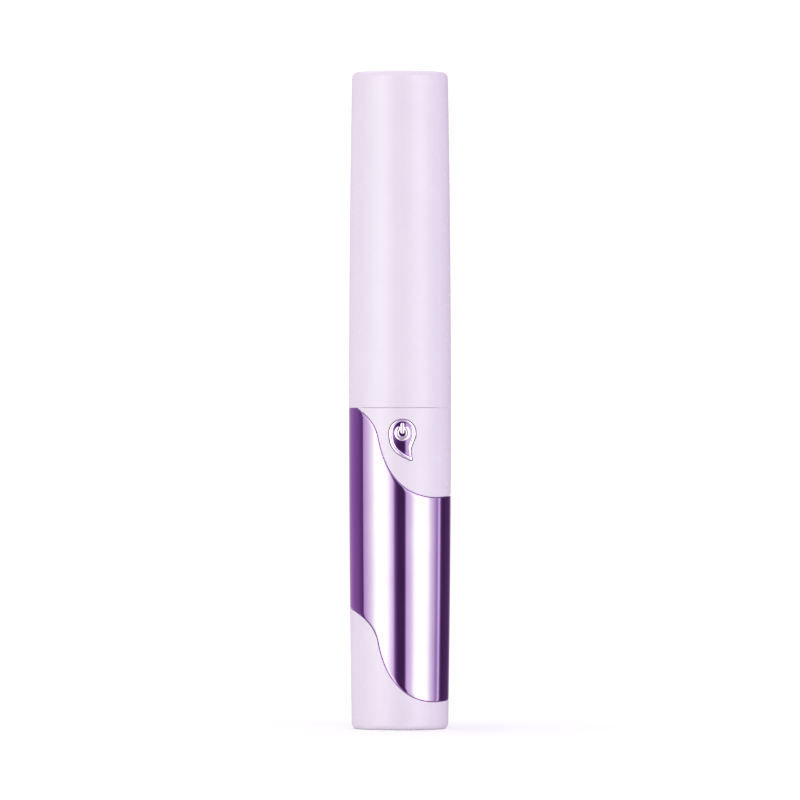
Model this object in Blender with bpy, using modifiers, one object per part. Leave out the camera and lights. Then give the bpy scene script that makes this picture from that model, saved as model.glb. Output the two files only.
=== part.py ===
"""Heated eyelash curler: a battery pen with a pull-off cap, a wavy plated sleeve and a comb head.

The pen stands upright on its foot. +Z runs up through the cap, the origin is the middle of the foot,
and the power button faces -Y. Everything is in metres.
"""

import math

import bmesh
import bpy
from mathutils import Matrix, Vector

MM = 0.001

# ---------------------------------------------------------------- driving sizes
# Clearances
FIT = 0.10 * MM  # between pieces fixed to each other
SLIP = 0.15 * MM  # between pieces that slide on each other
SEAM_GAP = 0.30 * MM  # between small pieces that only have to stay apart
CAP_GAP = 0.04 * MM  # shadow gap where the cap meets the handle
PANEL_GAP = 0.10 * MM  # seam between the wavy shells, square to the seam
BUTTON_GAP = 0.16 * MM  # slot round the power button

# Outer form: a slim barrel, widest at the seam
BODY_RADIUS = 10.0 * MM
FOOT_TAPER = 0.55 * MM
TIP_TAPER = 0.62 * MM
FOOT_ROUND = 1.1 * MM
TIP_ROUND = 1.3 * MM
TIP_CROWN = 0.25 * MM

# Walls
SHELL_WALL = 1.5 * MM  # of the handle's shells, at the seam
FLOOR_WALL = 1.4 * MM
LIP_WALL = 0.9 * MM
LIP_REACH = 0.85 * MM
CHASSIS_WALL = 1.1 * MM
SPLIT_GAP = 0.10 * MM  # between the two chassis halves
RIB_WALL = 1.2 * MM
RIB_INSET = 3.0 * MM  # of the end ribs from the cell's ends
RIB_COUNT = 3
BULKHEAD_WALL = 1.0 * MM
VENT_RADIUS = 0.6 * MM
SPIGOT_WALL = 0.9 * MM
COLLAR_WALL = 0.85 * MM
CAP_MOUTH_WALL = 1.4 * MM
CAP_TIP_WALL = 1.3 * MM
CAP_ROOF = 1.6 * MM

# The wave that parts the shells
WAVE_DROP = 18.35 * MM
LOWER_WAVE_LOW = 5.45 * MM  # low point of the lower seam, above the foot
UPPER_WAVE_DEPTH = 17.5 * MM  # low point of the upper seam, below the cap seam
CUTTER_REACH = 4.0 * MM  # how far cutters run past what they cut

# One AAA cell and its contacts
CELL_LENGTH = 44.5 * MM
CELL_RADIUS = 5.25 * MM
CELL_CLEARANCE = 0.20 * MM
NUB_RADIUS = 1.9 * MM
NUB_HEIGHT = 0.9 * MM
SHEET = 0.30 * MM  # thickness of the contacts
CONTACT_RADIUS = 3.4 * MM
TAB_WIDTH = 1.6 * MM
TAB_LAP = 0.8 * MM  # of the contacts behind the board
SPRING_WIRE_RADIUS = 0.3 * MM
SPRING_HEIGHT = 2.8 * MM  # pressed, with the cell in place
SPRING_FOOT_RADIUS = 4.2 * MM
SPRING_TOP_RADIUS = 2.0 * MM
SPRING_TURNS = 3
PLATE_MARGIN = 0.4 * MM
STRIP_WIDTH = 2.4 * MM
STRIP_FOOT = 1.2 * MM

# Circuit board and what is on it
BOARD_HEIGHT = 9.35 * MM
BOARD_THICKNESS = 1.0 * MM
BOARD_MARGIN = 0.4 * MM
BOARD_END_GAP = 0.3 * MM
BOSS_RADIUS = 1.3 * MM
BOSS_INSET = 1.9 * MM
BOSS_RISE = 1.9 * MM
SCREW_RADIUS = 0.55 * MM
SCREW_HEAD_RADIUS = 1.0 * MM
SCREW_HEAD_HEIGHT = 0.6 * MM
SCREW_SLOT = 0.3 * MM
BOARD_SCREW_LENGTH = 4.0 * MM
HEAD_SCREW_LENGTH = 3.2 * MM
CHIP_SIZE = (4.0 * MM, 1.3 * MM, 3.0 * MM)
CHIP_OFFSET = -1.1 * MM
INDUCTOR_WIDTH = 3.0 * MM
INDUCTOR_DEPTH = 1.8 * MM
INDUCTOR_OFFSET = 2.8 * MM
INDUCTOR_BELOW_LEADS = 1.25 * MM
TRANSISTOR_SIZE = (2.9 * MM, 1.0 * MM, 1.4 * MM)
CAPACITOR_RADIUS = 0.6 * MM
CAPACITOR_LENGTH = 1.8 * MM
LEAD_RADIUS = 0.35 * MM
LEAD_LAP = 1.6 * MM
THIN_LEAD_RADIUS = 0.2 * MM

# Power button and its switch
BUTTON_OFFSET = 0.47 * MM  # to the right of the middle
BUTTON_BELOW_SEAM = 4.9 * MM
BUTTON_RADIUS = 2.65 * MM
BUTTON_TAIL = 5.4 * MM
BUTTON_TRAVEL = 0.4 * MM
BUTTON_INSET = 0.04 * MM  # under the shell's surface
RECESS_DEPTH = 0.35 * MM
RECESS_ACROSS = 0.70  # of the button's own width
RECESS_ALONG = 0.83  # of the button's own height
FLANGE_GROW = 0.45 * MM
FLANGE_WALL = 0.7 * MM
WINDOW_MARGIN = 0.3 * MM
POST_RADIUS = 1.1 * MM
POST_REACH = 1.45 * MM
SYMBOL_RADIUS = 1.2 * MM
SYMBOL_STROKE = 1.0 * MM
SYMBOL_BAR_WIDTH = 0.8 * MM
SYMBOL_BAR_LOW = -0.2 * MM
SYMBOL_BAR_HIGH = 2.0 * MM
SYMBOL_GAP = 42.0  # degrees from the bar to each end of the ring
SWITCH_SIDE = 4.5 * MM
SWITCH_HEIGHT = 2.5 * MM
SWITCH_COVER = 0.25 * MM
PLUNGER_RADIUS = 1.2 * MM
PLUNGER_PROUD = 0.85 * MM
PLUNGER_DEPTH = 1.0 * MM

# Neck and heated comb head
COLLAR_HEIGHT = 7.2 * MM
COLLAR_ROOF = 1.2 * MM
COLLAR_LAP = 2.4 * MM
COLLAR_CHAMFER = 0.4 * MM
BEAD_HEIGHT = 0.08 * MM
BEAD_HALF_WIDTH = 0.5 * MM
BEAD_RISE = 2.6 * MM
GROOVE_DEPTH = 0.15 * MM
HEAD_SEAT = 1.5 * MM  # step between the head's flange and its neck
HEAD_FLANGE_HEIGHT = 2.5 * MM
HEAD_SHOULDER = 15.0 * MM  # from the collar to the comb
HEAD_SHOULDER_END = 1.5 * MM
HEAD_RADIUS = 4.2 * MM
HEAD_TIP = 2.7 * MM
HEAD_BORE_RADIUS = 1.8 * MM
COMB_LENGTH = 31.0 * MM
COMB_WIDTH = 5.5 * MM
COMB_HEIGHT = 4.0 * MM  # from the pen's axis to the feet of the teeth
COMB_WALL = 1.0 * MM
COMB_FLOOR = 0.6 * MM
TOOTH_COUNT = 24
TOOTH_LENGTH = 2.5 * MM
TOOTH_ROOT = 0.62 * MM
TOOTH_TIP = 0.30 * MM
COMB_DIP = 0.8 * MM  # how much shorter the middle teeth are
HEATER_DEPTH = 2.7 * MM
CORE_RADIUS = 0.75 * MM
CORE_END_GAP = 0.4 * MM
COIL_WIRE_RADIUS = 0.14 * MM
COIL_TURNS = 10
COIL_INSET = 2.3 * MM
MICA_THICKNESS = 0.2 * MM
MICA_INSET = 2.9 * MM
THERMISTOR_RADIUS = 0.5 * MM
THERMISTOR_LENGTH = 1.9 * MM
THERMISTOR_DROP = 2.4 * MM  # below the comb
THERMISTOR_BACK = 0.75 * MM  # behind the pen's axis
CAP_HEADROOM = 8.4 * MM

# How finely round things are drawn
SEGMENTS = 40
SMALL_SEGMENTS = 16

# ---------------------------------------------------------------- derived places
SHELL_BORE = BODY_RADIUS - SHELL_WALL
CHASSIS_RADIUS = SHELL_BORE - SLIP
CHASSIS_BORE = CHASSIS_RADIUS - CHASSIS_WALL
CELL_BORE = CELL_RADIUS + CELL_CLEARANCE

PLATE_Z = FLOOR_WALL + FIT
SPRING_Z = PLATE_Z + SHEET + FIT
CHASSIS_FOOT_Z = SPRING_Z + SHEET + FIT
CELL_Z = SPRING_Z + SPRING_HEIGHT + FIT
CONTACT_Z = CELL_Z + CELL_LENGTH + FIT
BULKHEAD_Z = CONTACT_Z + SHEET + FIT
BOARD_Z = BULKHEAD_Z + BULKHEAD_WALL + BOARD_END_GAP
BOARD_TOP_Z = BOARD_Z + BOARD_HEIGHT
NECK_Z = BOARD_TOP_Z + BOARD_END_GAP
SHOULDER_Z = NECK_Z + CHASSIS_WALL
LIP_Z = SHOULDER_Z + FIT
SHELL_TOP_Z = LIP_Z + LIP_WALL
SEAM_Z = SHELL_TOP_Z + CAP_GAP / 2
CAP_Z = SEAM_Z + CAP_GAP / 2
UPPER_WAVE_LOW = SEAM_Z - UPPER_WAVE_DEPTH

FLANGE_RADIUS = SHELL_BORE - SLIP
FLANGE_BORE = FLANGE_RADIUS - FLANGE_WALL
BUTTON_Z = SEAM_Z - BUTTON_BELOW_SEAM
POST_TIP_Y = POST_REACH - FLANGE_BORE
PLUNGER_Y = POST_TIP_Y + FIT
SWITCH_FRONT_Y = PLUNGER_Y + PLUNGER_PROUD
SWITCH_BODY_Y = SWITCH_FRONT_Y + SWITCH_COVER + FIT
BOARD_FRONT_Y = SWITCH_BODY_Y + SWITCH_HEIGHT + FIT
BOARD_BACK_Y = BOARD_FRONT_Y + BOARD_THICKNESS
BEHIND_BOARD_Y = BOARD_BACK_Y + FIT
BOARD_DEEPEST = max(abs(BOARD_FRONT_Y), abs(BOARD_BACK_Y))
BOARD_HALF_WIDTH = math.sqrt(CHASSIS_BORE**2 - BOARD_DEEPEST**2) - BOARD_MARGIN
BOSS_X = BOARD_HALF_WIDTH - BOSS_INSET
BOSS_Z = BOARD_Z + BOSS_RISE
BOSS_TOP_Z = BOSS_Z + BOSS_RADIUS
STRIP_X = CELL_BORE + SLIP
STRIP_TOP_Z = BOSS_Z - BOSS_RADIUS - SLIP
LEAD_END_Z = BOARD_TOP_Z - LEAD_LAP

COLLAR_Z = SHELL_TOP_Z + FIT
COLLAR_TOP_Z = COLLAR_Z + COLLAR_HEIGHT
COLLAR_RADIUS = CHASSIS_RADIUS
COLLAR_BORE = COLLAR_RADIUS - COLLAR_WALL
BEAD_Z = COLLAR_Z + BEAD_RISE
SPIGOT_RADIUS = COLLAR_BORE - FIT
SPIGOT_BORE = SPIGOT_RADIUS - SPIGOT_WALL
SPIGOT_TOP_Z = COLLAR_Z + COLLAR_LAP
HEAD_FLANGE_RADIUS = COLLAR_BORE - FIT
HEAD_NECK_RADIUS = HEAD_FLANGE_RADIUS - HEAD_SEAT
HEAD_FLANGE_TOP_Z = COLLAR_TOP_Z - COLLAR_ROOF - FIT
HEAD_FLANGE_Z = HEAD_FLANGE_TOP_Z - HEAD_FLANGE_HEIGHT
HEAD_SCREW_Z = HEAD_FLANGE_Z + HEAD_FLANGE_HEIGHT / 2
COMB_Z = COLLAR_TOP_Z + HEAD_SHOULDER
COMB_TOP_Z = COMB_Z + COMB_LENGTH
HEAD_TOP_Z = COMB_TOP_Z + HEAD_TIP
CAP_INNER_TOP_Z = HEAD_TOP_Z + CAP_HEADROOM
TIP_Z = CAP_INNER_TOP_Z + CAP_ROOF

COMB_INNER_HALF = COMB_WIDTH / 2 - COMB_WALL
COIL_RADIUS = CORE_RADIUS + FIT + COIL_WIRE_RADIUS
MICA_Y = FIT + COIL_RADIUS + COIL_WIRE_RADIUS - HEATER_DEPTH
RETURN_Y = (MICA_Y + MICA_THICKNESS - COMB_FLOOR) / 2
HEATER_LEAD_X = 2 * LEAD_RADIUS + FIT / 2
HEATER_LEAD_Y = -COMB_FLOOR - LEAD_RADIUS - FIT

# The wave seen from the front, as shares of BODY_RADIUS across and of WAVE_DROP up from its low
# point: cubic stretches, each as start, two handles and end.
WAVE_STRETCHES = (
    ((-1.00, 1.000), (-0.44, 0.840), (-0.44, 0.650), (-0.41, 0.590)),
    ((-0.41, 0.590), (-0.29, 0.285), (0.04, 0.000), (0.71, 0.000)),
    ((0.71, 0.000), (0.80, 0.000), (0.90, 0.005), (1.00, 0.015)),
)
# The button's outline about the middle of its round end: shares of BUTTON_RADIUS across and up,
# and of BUTTON_TAIL down.
DROP_STRETCHES = (
    ((0.00, 1.00), (-0.56, 1.00), (-1.00, 0.55), (-1.00, 0.00)),
    ((-1.00, 0.00), (-1.00, -0.55), (-0.55, -0.76), (0.52, -0.985)),
    ((0.52, -0.985), (0.66, -1.015), (0.76, -0.99), (0.71, -0.91)),
    ((0.71, -0.91), (0.42, -0.44), (1.05, -0.30), (1.00, 0.00)),
    ((1.00, 0.00), (1.00, 0.55), (0.56, 1.00), (0.00, 1.00)),
)

# Name: sRGB colour, roughness, metallic value
MATERIALS = {
    "lavender_plastic": ((232, 220, 238), 0.35, 0.0),
    "plated_purple": ((150, 92, 182), 0.08, 1.0),
    "white_plastic": ((238, 236, 238), 0.45, 0.0),
    "comb_plastic": ((122, 78, 158), 0.40, 0.0),
    "ceramic": ((236, 230, 220), 0.60, 0.0),
    "heater_wire": ((160, 158, 165), 0.30, 1.0),
    "mica": ((196, 178, 140), 0.50, 0.0),
    "board_green": ((28, 92, 58), 0.45, 0.0),
    "chip_black": ((26, 26, 28), 0.50, 0.0),
    "nickel_steel": ((190, 190, 188), 0.25, 1.0),
    "cell_jacket": ((70, 72, 84), 0.35, 0.0),
    "insulation_red": ((190, 30, 34), 0.45, 0.0),
    "insulation_black": ((24, 24, 26), 0.45, 0.0),
    "glass_bead": ((150, 90, 50), 0.20, 0.0),
}


# ---------------------------------------------------------------- building tools


def start():
    """Clears the scene and makes the materials and the collections for the pen and its cutters."""
    for old in list(bpy.data.objects):
        bpy.data.objects.remove(old, do_unlink=True)
    for name in ("eyelash_curler", "cutters"):
        made = bpy.data.collections.new(name)
        bpy.context.scene.collection.children.link(made)
    for name, (rgb, roughness, metallic) in MATERIALS.items():
        made = bpy.data.materials.new(name)
        made.use_nodes = True
        shader = made.node_tree.nodes["Principled BSDF"]
        shader.inputs["Base Color"].default_value = (*[linear(c / 255) for c in rgb], 1.0)
        shader.inputs["Roughness"].default_value = roughness
        shader.inputs["Metallic"].default_value = metallic


def linear(channel):
    """An sRGB channel from 0 to 1 as the linear value that a shader takes."""
    return channel / 12.92 if channel <= 0.04045 else ((channel + 0.055) / 1.055) ** 2.4


def place(obj, finish=None):
    """Puts an object with the pen's parts, or with the cutters if it has no finish."""
    collection = bpy.data.collections["eyelash_curler" if finish else "cutters"]
    collection.objects.link(obj)
    if finish:
        obj.data.materials.append(bpy.data.materials[finish])
    else:
        obj.hide_render = True
        obj.display_type = "WIRE"
    return obj


def from_bmesh(name, built, finish=None):
    mesh = bpy.data.meshes.new(name)
    bmesh.ops.recalc_face_normals(built, faces=built.faces)
    built.to_mesh(mesh)
    built.free()
    mesh.shade_smooth()
    mesh.set_sharp_from_angle(angle=math.radians(35))
    return place(bpy.data.objects.new(name, mesh), finish)


def box(name, low, high, finish=None):
    """A box between two corners."""
    low, high = Vector(low), Vector(high)
    size = Matrix.Diagonal((*(high - low), 1.0))
    built = bmesh.new()
    bmesh.ops.create_cube(built, size=1.0, matrix=Matrix.Translation((low + high) / 2) @ size)
    return from_bmesh(name, built, finish)


def rod(name, start_point, end_point, radius, finish=None):
    """A cylinder between two points."""
    start_point, end_point = Vector(start_point), Vector(end_point)
    along = end_point - start_point
    turn = along.to_track_quat("Z", "Y").to_matrix().to_4x4()
    built = bmesh.new()
    bmesh.ops.create_cone(
        built,
        cap_ends=True,
        segments=SMALL_SEGMENTS,
        radius1=radius,
        radius2=radius,
        depth=along.length,
        matrix=Matrix.Translation((start_point + end_point) / 2) @ turn,
    )
    return from_bmesh(name, built, finish)


def turned(name, profile, finish=None, ring=False):
    """A shape turned about Z from (radius, height) points that run down its outer side.

    A ring's profile closes on itself. Any other profile starts and ends on the axis.
    """
    mesh = bpy.data.meshes.new(name)
    count = len(profile)
    edges = [(i, (i + 1) % count) for i in range(count if ring else count - 1)]
    mesh.from_pydata([(radius, 0.0, height) for radius, height in profile], edges, [])
    obj = place(bpy.data.objects.new(name, mesh), finish)
    screw = obj.modifiers.new("turn", "SCREW")
    screw.steps = SEGMENTS
    screw.render_steps = SEGMENTS
    screw.use_merge_vertices = True
    screw.merge_threshold = 1e-7
    return obj


def outline_solid(name, outline, y_from, y_to, finish=None):
    """A solid with an outline of (x, z) points, from one depth along Y to another."""
    curve = bpy.data.curves.new(name, "CURVE")
    curve.dimensions = "2D"
    curve.fill_mode = "BOTH"
    curve.extrude = (y_to - y_from) / 2
    spline = curve.splines.new("POLY")
    spline.points.add(len(outline) - 1)
    spline.use_cyclic_u = True
    for point, (x, z) in zip(spline.points, outline):
        point.co = (x, z, 0.0, 1.0)
    flat = bpy.data.objects.new(name, curve)
    flat.location = (0.0, (y_from + y_to) / 2, 0.0)
    flat.rotation_euler = (math.pi / 2, 0.0, 0.0)
    bpy.context.scene.collection.objects.link(flat)
    bpy.context.view_layer.update()
    mesh = bpy.data.meshes.new_from_object(flat.evaluated_get(bpy.context.evaluated_depsgraph_get()))
    mesh.transform(flat.matrix_world)
    bpy.data.objects.remove(flat, do_unlink=True)
    built = bmesh.new()
    built.from_mesh(mesh)
    bmesh.ops.remove_doubles(built, verts=built.verts, dist=1e-7)
    return from_bmesh(name, built, finish)


def wire(name, points, radius, finish):
    """A round wire along a list of points."""
    curve = bpy.data.curves.new(name, "CURVE")
    curve.dimensions = "3D"
    curve.bevel_depth = radius
    curve.bevel_resolution = 2
    curve.use_fill_caps = True
    spline = curve.splines.new("POLY")
    spline.points.add(len(points) - 1)
    for point, position in zip(spline.points, points):
        point.co = (*position, 1.0)
    return place(bpy.data.objects.new(name, curve), finish)


def gentle_slope(before, here, there):
    """The slope at here: nothing in a direction that starts or turns back there, so no bend overshoots."""
    slope = Vector()
    for axis in range(3):
        run_in = here[axis] - before[axis]
        run_out = there[axis] - here[axis]
        if run_in * run_out > 0:
            slope[axis] = 2 * run_in * run_out / (run_in + run_out)
    return slope


def smooth_path(route, steps=3):
    """Points on a smooth curve through a few route points."""
    route = [Vector(point) for point in route]
    slopes = [route[1] - route[0]]
    slopes += [gentle_slope(*points) for points in zip(route, route[1:], route[2:])]
    slopes += [route[-1] - route[-2]]
    path = []
    for here, there, leave, arrive in zip(route, route[1:], slopes, slopes[1:]):
        for t in (step / steps for step in range(steps)):
            bend = 3 * (there - here) - 2 * leave - arrive
            twist = 2 * (here - there) + leave + arrive
            path.append(here + leave * t + bend * t**2 + twist * t**3)
    return [*path, route[-1]]


def combine(obj, operation, *tools):
    """Adds a Boolean of obj with each tool: DIFFERENCE, UNION or INTERSECT."""
    for tool in tools:
        change = obj.modifiers.new(tool.name, "BOOLEAN")
        change.operation = operation
        change.object = tool
    return obj


def cut(obj, *tools):
    return combine(obj, "DIFFERENCE", *tools)


def join(obj, *tools):
    return combine(obj, "UNION", *tools)


def sampled(stretches, steps):
    """Points along joined cubic stretches, each taken in equal steps."""
    points = []
    for stretch in stretches:
        for t in (step / steps for step in range(steps)):
            weights = ((1 - t) ** 3, 3 * (1 - t) ** 2 * t, 3 * (1 - t) * t**2, t**3)
            points.append(sum((w * Vector(corner) for w, corner in zip(weights, stretch)), Vector((0, 0))))
    return [*points, Vector(stretches[-1][-1])]


def shifted(points, distance, closed=False):
    """The points moved square to their line, to its left as it runs."""
    count = len(points)
    moved = []
    for i, here in enumerate(points):
        before = points[i - 1] if closed or i > 0 else here
        after = points[(i + 1) % count] if closed or i < count - 1 else here
        along = (after - before).normalized()
        moved.append(here + distance * Vector((-along.y, along.x)))
    return moved


# ---------------------------------------------------------------- outlines


def outer_radius(z):
    """The barrel's radius: each end narrows with the square of its distance from the seam."""
    if z < SEAM_Z:
        return BODY_RADIUS - FOOT_TAPER * ((SEAM_Z - z) / SEAM_Z) ** 2
    return BODY_RADIUS - TIP_TAPER * ((z - SEAM_Z) / (TIP_Z - SEAM_Z)) ** 2


def outer_side(low_z, high_z, count, inset=0.0):
    """Profile points down the barrel's outer side."""
    drop = (high_z - low_z) / (count - 1)
    return [(outer_radius(high_z - drop * i) - inset, high_z - drop * i) for i in range(count)]


def rounded_rim(radius, end_z, inward):
    """Profile points of a rounded rim, from the side to the end face. inward is +1 at the foot."""
    centre_z = end_z + inward * radius
    centre_r = outer_radius(centre_z) - radius
    points = []
    for angle in (math.pi / 2 * step / 5 for step in range(6)):
        points.append((centre_r + radius * math.cos(angle), centre_z - inward * radius * math.sin(angle)))
    return points


def beside_wave(name, low_z, shift, far_z):
    """A cutter that fills everything between a wavy seam, moved square to itself, and far_z."""
    points = sampled(WAVE_STRETCHES, 8)
    line = shifted([Vector((p.x * BODY_RADIUS, low_z + p.y * WAVE_DROP)) for p in points], shift)
    start_point = line[0] + (line[0] - line[1]).normalized() * CUTTER_REACH
    end_point = line[-1] + Vector((CUTTER_REACH, 0.0))
    outline = [start_point, *line, end_point, (end_point.x, far_z), (start_point.x, far_z)]
    return outline_solid(name, outline, -2 * BODY_RADIUS, 2 * BODY_RADIUS)


def drop_outline(grow=0.0, across=1.0, along=1.0):
    """The button's outline, scaled by its shares and then grown square to itself."""
    points = []
    for point in sampled(DROP_STRETCHES, 6)[:-1]:
        height = BUTTON_RADIUS if point.y > 0 else BUTTON_TAIL
        points.append(Vector((point.x * BUTTON_RADIUS * across, point.y * height * along)))
    return [(BUTTON_OFFSET + p.x, BUTTON_Z + p.y) for p in shifted(points, -grow, closed=True)]


def arc(radius, from_degrees, to_degrees, steps):
    """(x, z) points of an arc about the button's middle."""
    points = []
    for step in range(steps + 1):
        angle = math.radians(from_degrees + (to_degrees - from_degrees) * step / steps)
        points.append((BUTTON_OFFSET + radius * math.cos(angle), BUTTON_Z + radius * math.sin(angle)))
    return points


# ---------------------------------------------------------------- cap and shells


def make_cap():
    """One moulding: a crowned roof, a tapered bore and a groove for the neck's bead."""
    mouth_bore = outer_radius(CAP_Z) - CAP_MOUTH_WALL
    tip_bore = outer_radius(CAP_INNER_TOP_Z) - CAP_TIP_WALL

    def bore(z):
        return mouth_bore + (tip_bore - mouth_bore) * (z - CAP_Z) / (CAP_INNER_TOP_Z - CAP_Z)

    rim_z = TIP_Z - TIP_CROWN
    rim = rounded_rim(TIP_ROUND, rim_z, -1)
    profile = [(0.0, TIP_Z), (rim[-1][0] / 2, TIP_Z - TIP_CROWN / 4), *reversed(rim)]
    profile += outer_side(CAP_Z, rim_z - TIP_ROUND, 6)[1:]
    profile += [(mouth_bore, CAP_Z)]
    groove = ((BEAD_Z - BEAD_HALF_WIDTH, 0.0), (BEAD_Z, GROOVE_DEPTH), (BEAD_Z + BEAD_HALF_WIDTH, 0.0))
    for z, deeper in groove:
        profile.append((bore(z) + deeper, z))
    profile += [(tip_bore, CAP_INNER_TOP_Z), (0.0, CAP_INNER_TOP_Z)]
    turned("cap", profile, "lavender_plastic")


def make_upper_shell():
    """The shell round the button. Its lip is clamped between the chassis and the neck collar."""
    low_z = UPPER_WAVE_LOW - PANEL_GAP
    lip_bore = SHELL_BORE - LIP_REACH
    profile = outer_side(low_z, SHELL_TOP_Z, 4)
    profile += [(SHELL_BORE, low_z), (SHELL_BORE, LIP_Z), (lip_bore, LIP_Z), (lip_bore, SHELL_TOP_Z)]
    shell = turned("upper_shell", profile, "lavender_plastic", ring=True)
    below = beside_wave("below_upper_seam", UPPER_WAVE_LOW, PANEL_GAP / 2, 0.0)
    slot = outline_solid("button_slot", drop_outline(BUTTON_GAP), -2 * BODY_RADIUS, -SHELL_BORE / 2)
    cut(shell, below, slot)


def make_plated_sleeve():
    """The plated band between the two wavy seams, pressed onto the chassis."""
    low_z = LOWER_WAVE_LOW - PANEL_GAP
    profile = [*outer_side(low_z, SHELL_TOP_Z, 6), (SHELL_BORE, low_z), (SHELL_BORE, SHELL_TOP_Z)]
    sleeve = turned("plated_sleeve", profile, "plated_purple", ring=True)
    below = beside_wave("below_lower_seam", LOWER_WAVE_LOW, PANEL_GAP / 2, -CUTTER_REACH)
    above = beside_wave("above_upper_seam", UPPER_WAVE_LOW, -PANEL_GAP / 2, TIP_Z)
    cut(sleeve, below, above)


def make_battery_cover():
    """The cup under the lower seam, with the flat foot. It pulls off downwards."""
    high_z = LOWER_WAVE_LOW + WAVE_DROP + PANEL_GAP
    profile = [(0.0, FLOOR_WALL), (SHELL_BORE, FLOOR_WALL), (SHELL_BORE, high_z)]
    profile += [*outer_side(FOOT_ROUND, high_z, 4)[:-1], *rounded_rim(FOOT_ROUND, 0.0, 1), (0.0, 0.0)]
    cover = turned("battery_cover", profile, "lavender_plastic")
    cut(cover, beside_wave("above_lower_seam", LOWER_WAVE_LOW, -PANEL_GAP / 2, TIP_Z))


# ---------------------------------------------------------------- chassis


def chassis_profile():
    """Spigot, shoulder and tube outside; cradle ribs, bulkhead and board bay inside."""
    profile = [(SPIGOT_RADIUS, SPIGOT_TOP_Z), (SPIGOT_RADIUS, SHOULDER_Z), (CHASSIS_RADIUS, SHOULDER_Z)]
    profile += [(CHASSIS_RADIUS, CHASSIS_FOOT_Z), (CHASSIS_BORE, CHASSIS_FOOT_Z)]
    walls = []
    spacing = (CELL_LENGTH - 2 * RIB_INSET) / (RIB_COUNT - 1)
    for i in range(RIB_COUNT):
        walls.append((CELL_BORE, CELL_Z + RIB_INSET + spacing * i, RIB_WALL))
    walls.append((VENT_RADIUS, BULKHEAD_Z, BULKHEAD_WALL))
    for radius, z, thickness in walls:
        profile += [(CHASSIS_BORE, z), (radius, z), (radius, z + thickness), (CHASSIS_BORE, z + thickness)]
    return [*profile, (CHASSIS_BORE, NECK_Z), (SPIGOT_BORE, NECK_Z), (SPIGOT_BORE, SPIGOT_TOP_Z)]


def make_chassis():
    """Two half tubes round the cell: the front has the button's window, the back the board's bosses."""
    reach = 2 * BODY_RADIUS
    strip_slot = box(
        "strip_slot",
        (CELL_RADIUS - FIT, BEHIND_BOARD_Y - FIT, 0.0),
        (STRIP_X + SHEET + FIT, BEHIND_BOARD_Y + STRIP_WIDTH + FIT, BOARD_Z),
    )
    tab_slot = box(
        "tab_slot",
        (-TAB_WIDTH / 2 - FIT, BEHIND_BOARD_Y - FIT, CONTACT_Z),
        (TAB_WIDTH / 2 + FIT, BEHIND_BOARD_Y + SHEET + FIT, BOARD_Z),
    )
    outline = drop_outline(FLANGE_GROW + WINDOW_MARGIN)
    window = box(
        "button_window",
        (min(x for x, z in outline), -reach, min(z for x, z in outline)),
        (max(x for x, z in outline), -CHASSIS_BORE / 2, max(z for x, z in outline)),
    )
    behind_split = box("behind_split", (-reach, -SPLIT_GAP / 2, -reach), (reach, reach, TIP_Z))
    front = turned("chassis_front", chassis_profile(), "white_plastic", ring=True)
    cut(front, behind_split, strip_slot, tab_slot, window)

    before_split = box("before_split", (-reach, -reach, -reach), (reach, SPLIT_GAP / 2, TIP_Z))
    back = turned("chassis_back", chassis_profile(), "white_plastic", ring=True)
    cut(back, before_split, strip_slot, tab_slot)
    boss_end_y = math.sqrt((CHASSIS_BORE + CHASSIS_WALL / 2) ** 2 - (BOSS_X + BOSS_RADIUS) ** 2)
    hole_end_y = BOARD_FRONT_Y + BOARD_SCREW_LENGTH + SEAM_GAP
    for side, x in (("left", -BOSS_X), ("right", BOSS_X)):
        boss = rod(f"boss_{side}", (x, BEHIND_BOARD_Y, BOSS_Z), (x, boss_end_y, BOSS_Z), BOSS_RADIUS)
        start_point = (x, BOARD_FRONT_Y - CUTTER_REACH, BOSS_Z)
        hole = rod(f"boss_hole_{side}", start_point, (x, hole_end_y, BOSS_Z), SCREW_RADIUS + FIT)
        join(back, boss)
        cut(back, hole)


def make_neck_collar():
    """The ring that the cap pushes onto, with its bead. It locks the head's flange to the chassis."""
    roof_bore = HEAD_NECK_RADIUS + FIT
    roof_z = COLLAR_TOP_Z - COLLAR_ROOF
    profile = [(roof_bore, COLLAR_TOP_Z), (COLLAR_RADIUS - COLLAR_CHAMFER, COLLAR_TOP_Z)]
    profile += [(COLLAR_RADIUS, COLLAR_TOP_Z - COLLAR_CHAMFER), (COLLAR_RADIUS, BEAD_Z + BEAD_HALF_WIDTH)]
    profile += [(COLLAR_RADIUS + BEAD_HEIGHT, BEAD_Z), (COLLAR_RADIUS, BEAD_Z - BEAD_HALF_WIDTH)]
    profile += [(COLLAR_RADIUS, COLLAR_Z), (COLLAR_BORE, COLLAR_Z)]
    profile += [(COLLAR_BORE, roof_z), (roof_bore, roof_z)]
    collar = turned("neck_collar", profile, "white_plastic", ring=True)
    start_point = (0.0, HEAD_NECK_RADIUS, HEAD_SCREW_Z)
    end_point = (0.0, 2 * BODY_RADIUS, HEAD_SCREW_Z)
    cut(collar, rod("head_screw_way", start_point, end_point, SCREW_HEAD_RADIUS + FIT))


def make_screw(name, seat, direction, length):
    """A slotted pan-head screw. seat is the middle of the head's underside, direction is the shank's."""
    seat, direction = Vector(seat), Vector(direction)
    head_top = seat - direction * SCREW_HEAD_HEIGHT
    screw = rod(name, head_top, seat, SCREW_HEAD_RADIUS, "nickel_steel")
    shank_start = seat - direction * SCREW_HEAD_HEIGHT / 2
    join(screw, rod(f"{name}_shank", shank_start, seat + direction * length, SCREW_RADIUS))
    half_slot = Vector((CUTTER_REACH, SCREW_SLOT / 2, SCREW_SLOT / 2))
    cut(screw, box(f"{name}_slot", head_top - half_slot, head_top + half_slot))


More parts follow.
